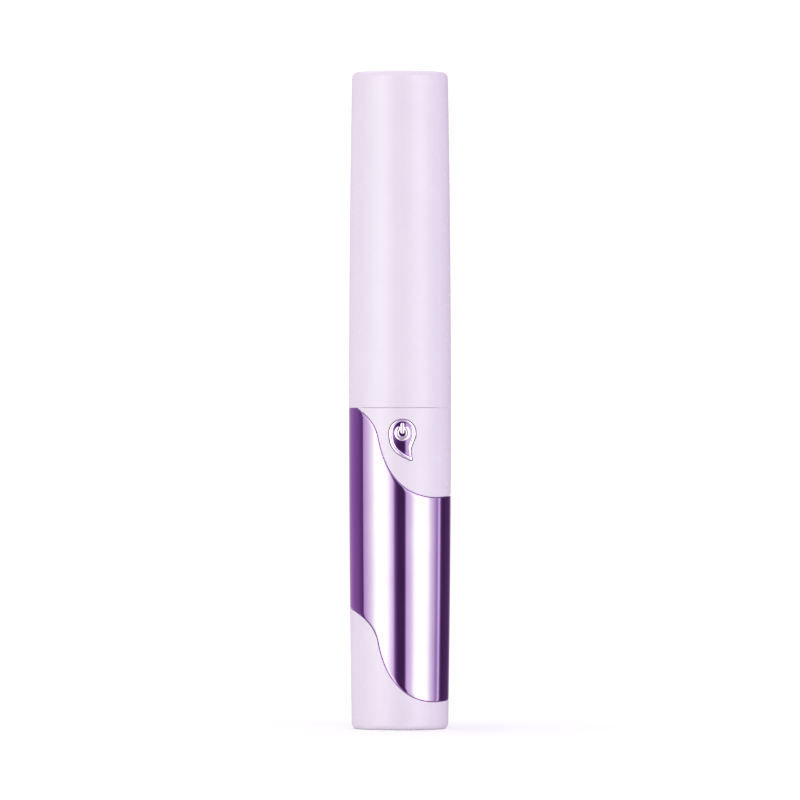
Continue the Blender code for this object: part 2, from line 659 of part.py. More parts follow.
def make_screws():
    seat_y = BOARD_FRONT_Y - FIT
    make_screw("board_screw_left", (-BOSS_X, seat_y, BOSS_Z), (0, 1, 0), BOARD_SCREW_LENGTH)
    make_screw("board_screw_right", (BOSS_X, seat_y, BOSS_Z), (0, 1, 0), BOARD_SCREW_LENGTH)
    head_seat = (0.0, HEAD_FLANGE_RADIUS + FIT, HEAD_SCREW_Z)
    make_screw("head_screw", head_seat, (0, -1, 0), HEAD_SCREW_LENGTH)


# ---------------------------------------------------------------- cell and contacts


def make_battery_cell():
    can_top = CELL_Z + CELL_LENGTH - NUB_HEIGHT
    profile = [(0.0, CELL_Z + CELL_LENGTH), (NUB_RADIUS, CELL_Z + CELL_LENGTH), (NUB_RADIUS, can_top)]
    profile += [(CELL_RADIUS, can_top), (CELL_RADIUS, CELL_Z), (0.0, CELL_Z)]
    turned("battery_cell", profile, "cell_jacket")


def make_positive_contact():
    """A disc over the cell's nub, with a tab up through the bulkhead to the back of the board."""
    top_z = CONTACT_Z + SHEET
    disc = rod("positive_contact", (0, 0, CONTACT_Z), (0, 0, top_z), CONTACT_RADIUS, "nickel_steel")
    low = (-TAB_WIDTH / 2, BEHIND_BOARD_Y, CONTACT_Z + SHEET / 2)
    high = (TAB_WIDTH / 2, BEHIND_BOARD_Y + SHEET, BOARD_Z + TAB_LAP)
    join(disc, box("positive_tab", low, high))


def make_spring_plate():
    radius = SHELL_BORE - PLATE_MARGIN
    profile = [(0.0, PLATE_Z + SHEET), (radius, PLATE_Z + SHEET), (radius, PLATE_Z), (0.0, PLATE_Z)]
    turned("spring_plate", profile, "nickel_steel")


def make_battery_spring():
    """A conical coil that stands on the spring plate and presses on the cell."""
    steps = 10 * SPRING_TURNS
    rise = SPRING_HEIGHT - 2 * SPRING_WIRE_RADIUS
    points = []
    for step in range(steps + 1):
        share = step / steps
        angle = 2 * math.pi * SPRING_TURNS * share
        radius = SPRING_FOOT_RADIUS + (SPRING_TOP_RADIUS - SPRING_FOOT_RADIUS) * share
        height = SPRING_Z + SPRING_WIRE_RADIUS + rise * share
        points.append((radius * math.cos(angle), radius * math.sin(angle), height))
    wire("battery_spring", points, SPRING_WIRE_RADIUS, "nickel_steel")


def make_negative_strip():
    """A strip beside the cell from the spring plate to the board's back, with its foot turned outwards."""
    high = (STRIP_X + SHEET, BEHIND_BOARD_Y + STRIP_WIDTH, STRIP_TOP_Z)
    strip = box("negative_strip", (STRIP_X, BEHIND_BOARD_Y, SPRING_Z), high, "nickel_steel")
    foot_high = (STRIP_X + SHEET + STRIP_FOOT, BEHIND_BOARD_Y + STRIP_WIDTH, SPRING_Z + SHEET)
    join(strip, box("strip_foot", (STRIP_X + SHEET / 2, BEHIND_BOARD_Y, SPRING_Z), foot_high))


# ---------------------------------------------------------------- board and switch


def make_circuit_board():
    low = (-BOARD_HALF_WIDTH, BOARD_FRONT_Y, BOARD_Z)
    board = box("circuit_board", low, (BOARD_HALF_WIDTH, BOARD_BACK_Y, BOARD_TOP_Z), "board_green")
    for side, x in (("left", -BOSS_X), ("right", BOSS_X)):
        start_point = (x, BOARD_FRONT_Y - CUTTER_REACH, BOSS_Z)
        end_point = (x, BOARD_BACK_Y + CUTTER_REACH, BOSS_Z)
        cut(board, rod(f"board_hole_{side}", start_point, end_point, SCREW_RADIUS + FIT))


def behind_board(name, middle_x, low_z, size, finish):
    """A box-shaped component on the board's back face."""
    width, depth, height = size
    low = (middle_x - width / 2, BEHIND_BOARD_Y, low_z)
    box(name, low, (middle_x + width / 2, BEHIND_BOARD_Y + depth, low_z + height), finish)


def make_components():
    chip_z = LEAD_END_Z - SEAM_GAP - CHIP_SIZE[2]
    behind_board("control_chip", CHIP_OFFSET, chip_z, CHIP_SIZE, "chip_black")
    inductor_z = BOSS_TOP_Z + SEAM_GAP
    inductor_size = (INDUCTOR_WIDTH, INDUCTOR_DEPTH, LEAD_END_Z - INDUCTOR_BELOW_LEADS - inductor_z)
    behind_board("power_inductor", INDUCTOR_OFFSET, inductor_z, inductor_size, "chip_black")
    transistor_x = CHIP_OFFSET - TRANSISTOR_SIZE[0] / 4
    transistor_z = BOARD_Z + TAB_LAP + SEAM_GAP
    behind_board("power_transistor", transistor_x, transistor_z, TRANSISTOR_SIZE, "chip_black")
    capacitor_y = BEHIND_BOARD_Y + CAPACITOR_RADIUS
    capacitor_z = BOARD_Z + TAB_LAP + SEAM_GAP + CAPACITOR_RADIUS
    capacitor_x = transistor_x + TRANSISTOR_SIZE[0] / 2 + SEAM_GAP
    start_point = (capacitor_x, capacitor_y, capacitor_z)
    end_point = (capacitor_x + CAPACITOR_LENGTH, capacitor_y, capacitor_z)
    rod("capacitor", start_point, end_point, CAPACITOR_RADIUS, "ceramic")


def make_switch():
    """A tact switch: body on the board, steel cover over it, plunger through the cover."""
    middle = Vector((BUTTON_OFFSET, 0.0, BUTTON_Z))
    half = Vector((SWITCH_SIDE / 2, 0.0, SWITCH_SIDE / 2))
    back_y = BOARD_FRONT_Y - FIT
    body = box(
        "switch_body",
        middle - half + Vector((0, SWITCH_BODY_Y, 0)),
        middle + half + Vector((0, back_y, 0)),
        "chip_black",
    )
    cover = box(
        "switch_cover",
        middle - half + Vector((0, SWITCH_FRONT_Y, 0)),
        middle + half + Vector((0, SWITCH_FRONT_Y + SWITCH_COVER, 0)),
        "nickel_steel",
    )
    plunger_end_y = SWITCH_FRONT_Y + PLUNGER_DEPTH
    well_start = middle + Vector((0, SWITCH_FRONT_Y - CUTTER_REACH, 0))
    well_end = middle + Vector((0, plunger_end_y + BUTTON_TRAVEL + FIT, 0))
    well = rod("plunger_well", well_start, well_end, PLUNGER_RADIUS + SLIP)
    cut(body, well)
    cut(cover, well)
    tip = middle + Vector((0, PLUNGER_Y, 0))
    rod("switch_plunger", tip, middle + Vector((0, plunger_end_y, 0)), PLUNGER_RADIUS, "chip_black")


def shell_band(name, bore, inset):
    """A cutter between a bore and the barrel's outer surface less an inset, round the button."""
    low_z = BUTTON_Z - 2 * BUTTON_TAIL
    high_z = BUTTON_Z + 2 * BUTTON_RADIUS
    profile = [*outer_side(low_z, high_z, 6, inset), (bore, low_z), (bore, high_z)]
    return turned(name, profile, ring=True)


def make_power_button():
    """Drop-shaped button: curved top, recess with a raised standby symbol, flange and post behind."""
    front_y = -2 * BODY_RADIUS
    back_y = -FLANGE_BORE / 2
    button = outline_solid("power_button", drop_outline(), front_y, back_y, "plated_purple")
    combine(button, "INTERSECT", shell_band("button_band", FLANGE_RADIUS - FLANGE_WALL / 2, BUTTON_INSET))

    flange = outline_solid("button_flange", drop_outline(FLANGE_GROW), front_y, back_y)
    low_z = BUTTON_Z - 2 * BUTTON_TAIL
    high_z = BUTTON_Z + 2 * BUTTON_RADIUS
    ring = [(FLANGE_RADIUS, high_z), (FLANGE_RADIUS, low_z), (FLANGE_BORE, low_z), (FLANGE_BORE, high_z)]
    combine(flange, "INTERSECT", turned("flange_band", ring, ring=True))

    recess = outline_solid("button_recess", drop_outline(0.0, RECESS_ACROSS, RECESS_ALONG), front_y, back_y)
    floor_radius = outer_radius(BUTTON_Z) - RECESS_DEPTH
    combine(recess, "INTERSECT", shell_band("recess_band", floor_radius, -CUTTER_REACH))
    inner = arc(SYMBOL_RADIUS - SYMBOL_STROKE / 2, 90 + SYMBOL_GAP, 450 - SYMBOL_GAP, 14)
    outer = arc(SYMBOL_RADIUS + SYMBOL_STROKE / 2, 450 - SYMBOL_GAP, 90 + SYMBOL_GAP, 14)
    symbol_ring = outline_solid("symbol_ring", inner + outer, front_y, back_y)
    symbol_bar = box(
        "symbol_bar",
        (BUTTON_OFFSET - SYMBOL_BAR_WIDTH / 2, front_y, BUTTON_Z + SYMBOL_BAR_LOW),
        (BUTTON_OFFSET + SYMBOL_BAR_WIDTH / 2, back_y, BUTTON_Z + SYMBOL_BAR_HIGH),
    )
    cut(recess, symbol_ring, symbol_bar)

    post_start = (BUTTON_OFFSET, -FLANGE_BORE - FLANGE_WALL / 2, BUTTON_Z)
    post = rod("button_post", post_start, (BUTTON_OFFSET, POST_TIP_Y, BUTTON_Z), POST_RADIUS)
    join(button, flange, post)
    cut(button, recess)


# ---------------------------------------------------------------- heated head


def make_head_body():
    """The wand: flange in the collar, eased shoulder, round stem with a trough, domed tip."""
    profile = []
    for angle in (math.pi / 2 * step / 6 for step in range(7)):
        profile.append((HEAD_RADIUS * math.sin(angle), COMB_TOP_Z + HEAD_TIP * math.cos(angle)))
    shoulder_top = COMB_Z - HEAD_SHOULDER_END
    shoulder_low = COLLAR_TOP_Z + HEAD_SHOULDER_END
    for share in (step / 8 for step in range(9)):
        wider = (HEAD_NECK_RADIUS - HEAD_RADIUS) * (1 - math.cos(math.pi * share)) / 2
        profile.append((HEAD_RADIUS + wider, shoulder_top + (shoulder_low - shoulder_top) * share))
    profile += [(HEAD_NECK_RADIUS, HEAD_FLANGE_TOP_Z), (HEAD_FLANGE_RADIUS, HEAD_FLANGE_TOP_Z)]
    profile += [(HEAD_FLANGE_RADIUS, HEAD_FLANGE_Z), (0.0, HEAD_FLANGE_Z)]
    head = turned("head_body", profile, "white_plastic")
    half = COMB_WIDTH / 2 + FIT
    trough = box("comb_trough", (-half, -2 * BODY_RADIUS, COMB_Z - FIT), (half, FIT, COMB_TOP_Z + FIT))
    bore = rod("lead_bore", (0, 0, HEAD_FLANGE_Z - CUTTER_REACH), (0, 0, COMB_Z), HEAD_BORE_RADIUS)
    screw_end_y = HEAD_FLANGE_RADIUS - HEAD_SCREW_LENGTH - SEAM_GAP
    start_point = (0.0, 2 * BODY_RADIUS, HEAD_SCREW_Z)
    screw_hole = rod("head_screw_hole", start_point, (0.0, screw_end_y, HEAD_SCREW_Z), SCREW_RADIUS + FIT)
    cut(head, trough, bore, screw_hole)


def tooth_row_outline():
    """One side wall of the comb with its teeth, as (depth, height) points. The middle teeth are shorter."""
    pitch = COMB_LENGTH / TOOTH_COUNT
    root_y = -COMB_HEIGHT
    points = [(root_y, COMB_TOP_Z), (0.0, COMB_TOP_Z), (0.0, COMB_Z), (root_y, COMB_Z)]
    for i in range(TOOTH_COUNT):
        middle_z = COMB_Z + pitch * (i + 0.5)
        from_centre = abs(2 * (i + 0.5) / TOOTH_COUNT - 1)
        tip_y = root_y - TOOTH_LENGTH + COMB_DIP * (1 - from_centre**2)
        points += [(root_y, middle_z - TOOTH_ROOT / 2), (tip_y, middle_z - TOOTH_TIP / 2)]
        points += [(tip_y, middle_z + TOOTH_TIP / 2), (root_y, middle_z + TOOTH_ROOT / 2)]
    return points


def make_comb_insert():
    """A trough with a comb row on each side, open between them for the heater."""
    half = COMB_WIDTH / 2
    overlap = COMB_WALL / 2
    inner = COMB_INNER_HALF + overlap
    comb = box("comb_insert", (-inner, -COMB_FLOOR, COMB_Z), (inner, 0.0, COMB_TOP_Z), "comb_plastic")
    for side, x in (("left", -half), ("right", half - COMB_WALL)):
        row = outline_solid(f"tooth_row_{side}", tooth_row_outline(), 0.0, COMB_WALL)
        # The outline's depth runs along +Y once the row is turned a quarter about Z.
        row.rotation_euler = (0.0, 0.0, math.pi / 2)
        row.location = (x + COMB_WALL, 0.0, 0.0)
        join(comb, row)
    for end, z in (("low", COMB_Z), ("high", COMB_TOP_Z - COMB_WALL)):
        wall = box(f"end_wall_{end}", (-inner, -COMB_HEIGHT, z), (inner, -COMB_FLOOR / 2, z + COMB_WALL))
        join(comb, wall)
    core_ends = ((0, -HEATER_DEPTH, COMB_Z + CORE_END_GAP), (0, -HEATER_DEPTH, COMB_TOP_Z - CORE_END_GAP))
    sockets = rod("core_sockets", *core_ends, CORE_RADIUS + FIT)
    notch_half = HEATER_LEAD_X + LEAD_RADIUS + FIT
    notch = box(
        "lead_notch",
        (-notch_half, HEATER_LEAD_Y - LEAD_RADIUS - FIT, COMB_Z - CUTTER_REACH),
        (notch_half, -COMB_FLOOR, COMB_Z + COMB_WALL + FIT),
    )
    cut(comb, sockets, notch)


def make_heater():
    """A ceramic core in the comb's end walls, the coil round it, and mica between coil and return wire."""
    inset = CORE_END_GAP + FIT
    core_start = (0, -HEATER_DEPTH, COMB_Z + inset)
    rod("heater_core", core_start, (0, -HEATER_DEPTH, COMB_TOP_Z - inset), CORE_RADIUS, "ceramic")
    low_z = COMB_Z + COIL_INSET
    high_z = COMB_TOP_Z - COIL_INSET
    tail_z = COMB_Z + COMB_WALL + 2 * SEAM_GAP
    over_z = high_z + SEAM_GAP
    points = [(HEATER_LEAD_X, HEATER_LEAD_Y, tail_z)]
    points += [(HEATER_LEAD_X, HEATER_LEAD_Y - LEAD_RADIUS, tail_z + SEAM_GAP)]
    steps = 8 * COIL_TURNS + 4
    for step in range(steps + 1):
        angle = math.pi * step / 4
        height = low_z + (high_z - low_z) * step / steps
        points.append((COIL_RADIUS * math.cos(angle), COIL_RADIUS * math.sin(angle) - HEATER_DEPTH, height))
    side_x = -COIL_RADIUS
    points += [(side_x, (MICA_Y - HEATER_DEPTH) / 2, over_z), (side_x, MICA_Y, over_z + SEAM_GAP / 2)]
    points += [(-HEATER_LEAD_X, RETURN_Y, over_z), (-HEATER_LEAD_X, RETURN_Y, tail_z)]
    wire("heater_coil", points, COIL_WIRE_RADIUS, "heater_wire")
    half = COMB_INNER_HALF - FIT
    low = (-half, MICA_Y, COMB_Z + MICA_INSET)
    box("mica_strip", low, (half, MICA_Y + MICA_THICKNESS, COMB_TOP_Z - MICA_INSET), "mica")


def make_leads():
    """Heater leads and thermistor leads from the back of the board up through the head's bore."""
    board_y = BEHIND_BOARD_Y + LEAD_RADIUS
    bore_y = -HEAD_BORE_RADIUS / 3
    end_z = COMB_Z + COMB_WALL + SEAM_GAP
    for name, x in (("red", HEATER_LEAD_X), ("black", -HEATER_LEAD_X)):
        route = [(x, board_y, LEAD_END_Z), (x, board_y, BOARD_TOP_Z), (x, bore_y, COLLAR_Z)]
        route += [(x, bore_y, HEAD_FLANGE_Z), (x, bore_y, COMB_Z - HEAD_BORE_RADIUS)]
        route += [(x, HEATER_LEAD_Y, COMB_Z - FIT), (x, HEATER_LEAD_Y, end_z)]
        wire(f"heater_lead_{name}", smooth_path(route), LEAD_RADIUS, f"insulation_{name}")

    bead_top = COMB_Z - THERMISTOR_DROP
    bead_low = bead_top - THERMISTOR_LENGTH
    bead_ends = ((0, THERMISTOR_BACK, bead_low), (0, THERMISTOR_BACK, bead_top))
    rod("thermistor", *bead_ends, THERMISTOR_RADIUS, "glass_bead")
    thin_y = BEHIND_BOARD_Y + THIN_LEAD_RADIUS
    near = THIN_LEAD_RADIUS + FIT / 2
    far = HEATER_LEAD_X + 3 * LEAD_RADIUS
    for name, side in (("left", -1), ("right", 1)):
        route = [(side * far, thin_y, LEAD_END_Z), (side * far, thin_y, BOARD_TOP_Z)]
        route += [(side * far / 2, THERMISTOR_BACK / 2, COLLAR_Z)]
        route += [(side * near, THERMISTOR_BACK, HEAD_FLANGE_Z)]
        route += [(side * near, THERMISTOR_BACK, bead_low - FIT)]
        wire(f"thermistor_lead_{name}", smooth_path(route), THIN_LEAD_RADIUS, "white_plastic")


def main():
    start()
    make_cap()
    make_upper_shell()
    make_plated_sleeve()
    make_battery_cover()
    make_chassis()
    make_neck_collar()
    make_screws()
    make_battery_cell()
    make_positive_contact()
    make_spring_plate()
    make_battery_spring()
    make_negative_strip()
    make_circuit_board()
    make_components()
    make_switch()
    make_power_button()
    make_head_body()
    make_comb_insert()
    make_heater()
    make_leads()


main()
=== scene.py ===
"""The heated eyelash curler as it looks: a slim pen with a lavender cap, panel and battery cover, and a
plated sleeve with wavy seams. Pieces come in the order they are put together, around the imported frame.
"""

import math

import bmesh
import bpy
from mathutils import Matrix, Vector


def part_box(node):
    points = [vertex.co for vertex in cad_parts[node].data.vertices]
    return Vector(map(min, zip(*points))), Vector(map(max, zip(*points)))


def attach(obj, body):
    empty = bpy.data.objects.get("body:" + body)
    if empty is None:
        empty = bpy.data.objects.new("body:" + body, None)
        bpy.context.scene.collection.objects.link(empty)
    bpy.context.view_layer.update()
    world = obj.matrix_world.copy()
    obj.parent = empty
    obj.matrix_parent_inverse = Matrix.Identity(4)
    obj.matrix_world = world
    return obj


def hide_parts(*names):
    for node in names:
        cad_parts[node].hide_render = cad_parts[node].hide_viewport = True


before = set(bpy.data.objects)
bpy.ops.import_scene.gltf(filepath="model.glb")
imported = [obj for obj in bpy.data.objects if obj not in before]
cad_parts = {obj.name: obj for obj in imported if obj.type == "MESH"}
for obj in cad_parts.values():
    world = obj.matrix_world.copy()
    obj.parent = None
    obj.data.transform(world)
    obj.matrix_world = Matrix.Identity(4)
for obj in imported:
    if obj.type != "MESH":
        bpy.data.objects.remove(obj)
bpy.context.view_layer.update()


# ---------------------------------------------------------------- chassis halves
# Two half tubes of natural white ABS that close round the cell and the board and carry the shells.
# They are injection moulded, with the fine spark-eroded grain that hidden inner faces keep.
MM = 0.001


def add_node(tree, kind, inputs=None, **settings):
    """A node with its settings and inputs: plain values, other nodes' sockets, or Numbers on them."""
    node = tree.nodes.new(kind)
    for setting, value in settings.items():
        setattr(node, setting, value)
    for key, value in (inputs or {}).items():
        value = getattr(value, "socket", value)
        if isinstance(value, bpy.types.NodeSocket):
            tree.links.new(value, node.inputs[key])
        else:
            node.inputs[key].default_value = value
    return node


def blank(name):
    """A new material, and its node tree with nothing in it."""
    material = bpy.data.materials.new(name)
    material.use_nodes = True
    material.node_tree.nodes.clear()
    return material, material.node_tree


def spots(tree, size, detail=2.0, upright=1.0):
    """A soft noise over the piece, its spots this many mm wide, and drawn out upright below 1."""
    place = add_node(tree, "ShaderNodeTexCoord").outputs["Object"]
    scaled = add_node(tree, "ShaderNodeMapping", {"Vector": place, "Scale": (1.0, 1.0, upright)})
    inputs = {"Vector": scaled.outputs["Vector"], "Scale": 1.0 / (size * MM), "Detail": detail}
    return add_node(tree, "ShaderNodeTexNoise", inputs).outputs["Fac"]


def between(tree, share, low, high):
    """A number that runs from low to high as a noise's share does, clear of the noise's rare ends."""
    inputs = {"Value": share, "From Min": 0.3, "From Max": 0.7, "To Min": low, "To Max": high}
    return add_node(tree, "ShaderNodeMapRange", inputs).outputs["Result"]


def mixed(tree, share, first, second):
    """A colour between two colours, by a share from 0 to 1."""
    inputs = {0: share, 6: (*first, 1.0), 7: (*second, 1.0)}
    return add_node(tree, "ShaderNodeMix", inputs, data_type="RGBA").outputs[2]


def shaded(tree, relief, **values):
    """Ends a material with its shader. Each relief is a height and how far it stands out in mm."""
    inputs = {key.replace("_", " "): value for key, value in values.items()}
    for height, depth in relief:
        bump = {"Height": height, "Strength": 1.0, "Distance": depth * MM}
        if "Normal" in inputs:
            bump["Normal"] = inputs["Normal"]
        inputs["Normal"] = add_node(tree, "ShaderNodeBump", bump).outputs["Normal"]
    shader = add_node(tree, "ShaderNodeBsdfPrincipled", inputs)
    add_node(tree, "ShaderNodeOutputMaterial", {"Surface": shader.outputs["BSDF"]})


def new_finish(name, tones, gloss, *relief, **values):
    """A finish whose colour and roughness drift between two values, each (first, second, spots).
    Each relief is (depth in mm, spots). Spots are their size in mm, and then detail and upright."""
    finish, tree = blank(name)
    first, second, drift = tones
    values["Base_Color"] = mixed(tree, between(tree, spots(tree, *drift), 0.0, 1.0), first, second)
    if gloss:
        low, high, peel = gloss
        values["Roughness"] = between(tree, spots(tree, *peel), low, high)
    shaded(tree, [(spots(tree, *grain), depth) for depth, grain in relief], **values)
    return finish


def moulded_plastic(name, first, second, gloss, grain, **values):
    """Moulded plastic: two near tones, a range of roughness, and the depth of the mould's grain."""
    layers = ((grain, (0.12, 3.0)), (grain, (1.4,)))
    return new_finish(name, (first, second, (9,)), (*gloss, (1.4,)), *layers, **values)


def refinish(finish, *nodes):
    """Gives carried-over CAD nodes this finish in place of the frame's plain one."""
    for node in nodes:
        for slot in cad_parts[node].material_slots:
            slot.material = finish


white_abs = moulded_plastic(
    "white ABS", (0.80, 0.775, 0.785), (0.84, 0.815, 0.825), (0.42, 0.55), 0.004, Specular_IOR_Level=0.3
)
refinish(white_abs, "chassis_front", "chassis_back")


# ---------------------------------------------------------------- circuit board
# The control board: glass-epoxy laminate under green solder mask, with copper tracks that show
# through it. Two self-tapping screws hold it to the chassis bosses.
def solder_mask():
    finish, tree = blank("green solder mask")
    place = add_node(tree, "ShaderNodeTexCoord").outputs["Object"]
    cells = {"Vector": place, "Scale": 1.0 / (0.9 * MM), "Randomness": 0.35}
    tracks = add_node(tree, "ShaderNodeTexVoronoi", cells, distance="CHEBYCHEV", feature="F1")
    edges = {"Value": tracks.outputs["Distance"], "From Min": 0.40, "From Max": 0.46}
    track = add_node(tree, "ShaderNodeMapRange", edges).outputs["Result"]
    green = mixed(tree, track, (0.012, 0.12, 0.035), (0.05, 0.26, 0.07))
    relief = ((track, 0.03), (spots(tree, 0.2), 0.004))
    shaded(tree, relief, Base_Color=green, Roughness=0.28, IOR=1.52)
    return finish


refinish(solder_mask(), "circuit_board")


# ---------------------------------------------------------------- screws
# Two board screws and the head screw: slotted pan heads on threaded shanks, nickel plated. The heads
# are turned and slotted, and the threads are rolled, so they stand slightly proud of the shank.
SCREW_RADIUS = 0.55 * MM
SCREW_HEAD_RADIUS = 1.0 * MM
SCREW_HEAD_HEIGHT = 0.6 * MM
SCREW_SLOT = 0.3 * MM
THREAD_PITCH = 0.5 * MM
THREAD_DEPTH = 0.16 * MM
SHARP_EDGE = math.radians(38.0)


def new_piece(name, mesh, finish=None):
    """An object for a finished mesh, smooth apart from its sharp edges."""
    piece = bpy.data.objects.new(name, mesh)
    bpy.context.scene.collection.objects.link(piece)
    if finish and finish.name not in mesh.materials:
        mesh.materials.append(finish)
    mesh.shade_smooth()
    mesh.set_sharp_from_angle(angle=SHARP_EDGE)
    return piece


def mesh_from(sheet, name, *finishes):
    """A mesh with these finishes from a bmesh, which is freed."""
    mesh = bpy.data.meshes.new(name)
    for finish in finishes:
        mesh.materials.append(finish)
    sheet.to_mesh(mesh)
    sheet.free()
    return mesh


def hand_over(piece, body, slot, *nodes):
    """Puts a finished piece on its body, in place of its CAD nodes. The slot is not used."""
    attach(piece, body)
    if nodes:
        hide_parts(*nodes)


def baked(piece):
    """The piece with its modifiers worked into its mesh."""
    depsgraph = bpy.context.evaluated_depsgraph_get()
    mesh = bpy.data.meshes.new_from_object(piece.evaluated_get(depsgraph), depsgraph=depsgraph)
    piece.modifiers.clear()
    piece.data = mesh
    return piece


def combined(piece, operation, *others):
    """Takes other pieces out of a piece (DIFFERENCE) or adds them to it (UNION), and removes them."""
    for other in others:
        step = piece.modifiers.new("step", "BOOLEAN")
        step.operation = operation
        step.solver = "EXACT"
        step.object = other
    baked(piece)
    for other in others:
        bpy.data.objects.remove(other)
    piece.data.set_sharp_from_angle(angle=SHARP_EDGE)
    return piece


def joined(first, *others):
    """One mesh of several pieces, under the first one's name."""
    sheet = bmesh.new()
    for piece in (first, *others):
        sheet.from_mesh(piece.data)
    sheet.to_mesh(first.data)
    sheet.free()
    for piece in others:
        bpy.data.objects.remove(piece)
    return first


def moved(piece, place_of):
    """The piece with each of its points taken to place_of(point)."""
    for vert in piece.data.vertices:
        vert.co = place_of(vert.co)
    return piece


class Number:
    """A number in a node tree, so that the tree's sums are written as sums."""

    def __init__(self, socket):
        self.socket = socket

    def __add__(self, other):
        return worked_out("ADD", self, other)

    def __sub__(self, other):
        return worked_out("SUBTRACT", self, other)

    def __rsub__(self, other):
        return worked_out("SUBTRACT", other, self)

    def __mul__(self, other):
        return worked_out("MULTIPLY", self, other)

    def __truediv__(self, other):
        return worked_out("DIVIDE", self, other)


def worked_out(operation, *values):
    """One sum of a tree, from its Numbers, its sockets and plain values."""
    tree = next(value for value in values if isinstance(value, Number)).socket.id_data
    node = add_node(tree, "ShaderNodeMath", dict(enumerate(values)), operation=operation)
    return Number(node.outputs[0])


def new_tree(name, **sockets):
    """A Geometry Nodes tree that takes a start, these inputs and a finish, and gives a geometry."""
    tree = bpy.data.node_groups.new(name, "GeometryNodeTree")
    kinds = {"Start": "Geometry", **sockets, "Finish": "Material"}
    for socket, kind in kinds.items():
        tree.interface.new_socket(socket, in_out="INPUT", socket_type=f"NodeSocket{kind}")
    tree.interface.new_socket("Geometry", in_out="OUTPUT", socket_type="NodeSocketGeometry")
    return tree, add_node(tree, "NodeGroupInput").outputs


def finished(tree, given, geometry):
    """Ends a tree: instances made real, and the finish put on."""
    real = add_node(tree, "GeometryNodeRealizeInstances", {"Geometry": geometry})
    paint = {"Geometry": real.outputs[0], "Material": given["Finish"]}
    painted = add_node(tree, "GeometryNodeSetMaterial", paint)
    add_node(tree, "NodeGroupOutput", {"Geometry": painted.outputs[0]})
    return tree


def round_grid(tree, columns, rows, place_of):
    """A grid rolled up: place_of(angle, row) gives (radius, height), and the seam is welded."""
    grid = add_node(tree, "GeometryNodeMeshGrid", {"Vertices X": columns + 1, "Vertices Y": rows})
    index = Number(add_node(tree, "GeometryNodeInputIndex").outputs["Index"])
    column = worked_out("FLOOR", (index + 0.5) / rows)
    angle = column / columns * math.tau
    radius, height = place_of(angle, index - column * rows)
    across, ahead = worked_out("COSINE", angle), worked_out("SINE", angle)
    place = {"X": radius * across, "Y": radius * ahead, "Z": height}
    places = add_node(tree, "ShaderNodeCombineXYZ", place).outputs["Vector"]
    rolled = {"Geometry": grid.outputs["Mesh"], "Position": places}
    skin = add_node(tree, "GeometryNodeSetPosition", rolled)
    welded = {"Geometry": skin.outputs[0], "Distance": 1e-6}
    return add_node(tree, "GeometryNodeMergeByDistance", welded).outputs[0]


def turned_tree():
    """Turns a line of points, each (radius, 0, height), once round the pen's axis."""
    tree, given = new_tree("Turned piece", Segments="Int")
    size = add_node(tree, "GeometryNodeAttributeDomainSize", {"Geometry": given["Start"]})
    position = add_node(tree, "GeometryNodeInputPosition").outputs["Position"]

    def on_profile(angle, row):
        taken = {"Geometry": given["Start"], "Value": position, "Index": row}
        sample = add_node(tree, "GeometryNodeSampleIndex", taken, data_type="FLOAT_VECTOR")
        axes = add_node(tree, "ShaderNodeSeparateXYZ", {0: sample.outputs["Value"]}).outputs
        return Number(axes["X"]), axes["Z"]

    rows = Number(size.outputs["Point Count"])
    return finished(tree, given, round_grid(tree, Number(given["Segments"]), rows, on_profile))


def thread_tree():
    """A threaded shank from the starting point down: a triangle thread that runs out at the tip."""
    tree, given = new_tree("Threaded shank", Length="Float", Radius="Float", Pitch="Float", Depth="Float")
    length, core, depth = (Number(given[name]) for name in ("Length", "Radius", "Depth"))
    rows = worked_out("ROUND", length / (0.06 * MM)) + 1

    def on_thread(angle, row):
        down = row / (rows - 1) * length
        wave = worked_out("PINGPONG", down / given["Pitch"] + angle / math.tau, 0.5)
        taper = worked_out("MINIMUM", (length - down) / (core * 1.2), 1.0)
        taper = taper * worked_out("MINIMUM", row, 1.0)
        return (core - wave * (depth * 2.0)) * taper, down * -1.0

    skin = round_grid(tree, 20, rows, on_thread)
    faces_out = add_node(tree, "GeometryNodeFlipFaces", {0: skin})
    return finished(tree, given, faces_out.outputs[0])


def grown(name, tree, start, finish, **sizes):
    """The plain mesh piece that a tree makes from a starting mesh and these sizes."""
    start.materials.append(finish)
    piece = bpy.data.objects.new(name, start)
    bpy.context.scene.collection.objects.link(piece)
    making = piece.modifiers.new("making", "NODES")
    making.node_group = tree
    given = {**sizes, "Finish": finish}
    for item in tree.interface.items_tree:
        if item.in_out == "INPUT" and item.name in given:
            making[item.identifier] = given[item.name]
    mesh = baked(piece).data
    bpy.data.objects.remove(piece)
    return new_piece(name, mesh, finish)


def line_of(places, edges=()):
    """A mesh of bare points, and the edges between them, for a tree to start from."""
    mesh = bpy.data.meshes.new("line")
    mesh.from_pydata(places, edges, [])
    return mesh


def eased(corners, steps=5):
    """A profile's points from its corners, each (radius, height) and how much it is rounded, if it is."""
    points = []
    for i, (*place, last) in enumerate(corners):
        if len(place) < 2 or not last:
            points.append(Vector(corners[i][:2]))
            continue
        corner = Vector(place)
        to_last = (Vector(corners[i - 1][:2]) - corner).normalized() * last
        to_next = (Vector(corners[(i + 1) % len(corners)][:2]) - corner).normalized() * last
        for step in range(steps + 1):
            t = step / steps
            points.append(corner + to_last * (1 - t) ** 2 + to_next * t**2)
    return points


def turned_piece(name, corners, finish, segments, closed=False):
    """A piece turned round the pen's axis from its profile, which may be a closed outline."""
    points = eased(corners)
    points += points[:1] if closed else []
    line = line_of([(radius, 0.0, z) for radius, z in points])
    return grown(name, turned, line, finish, Segments=segments)


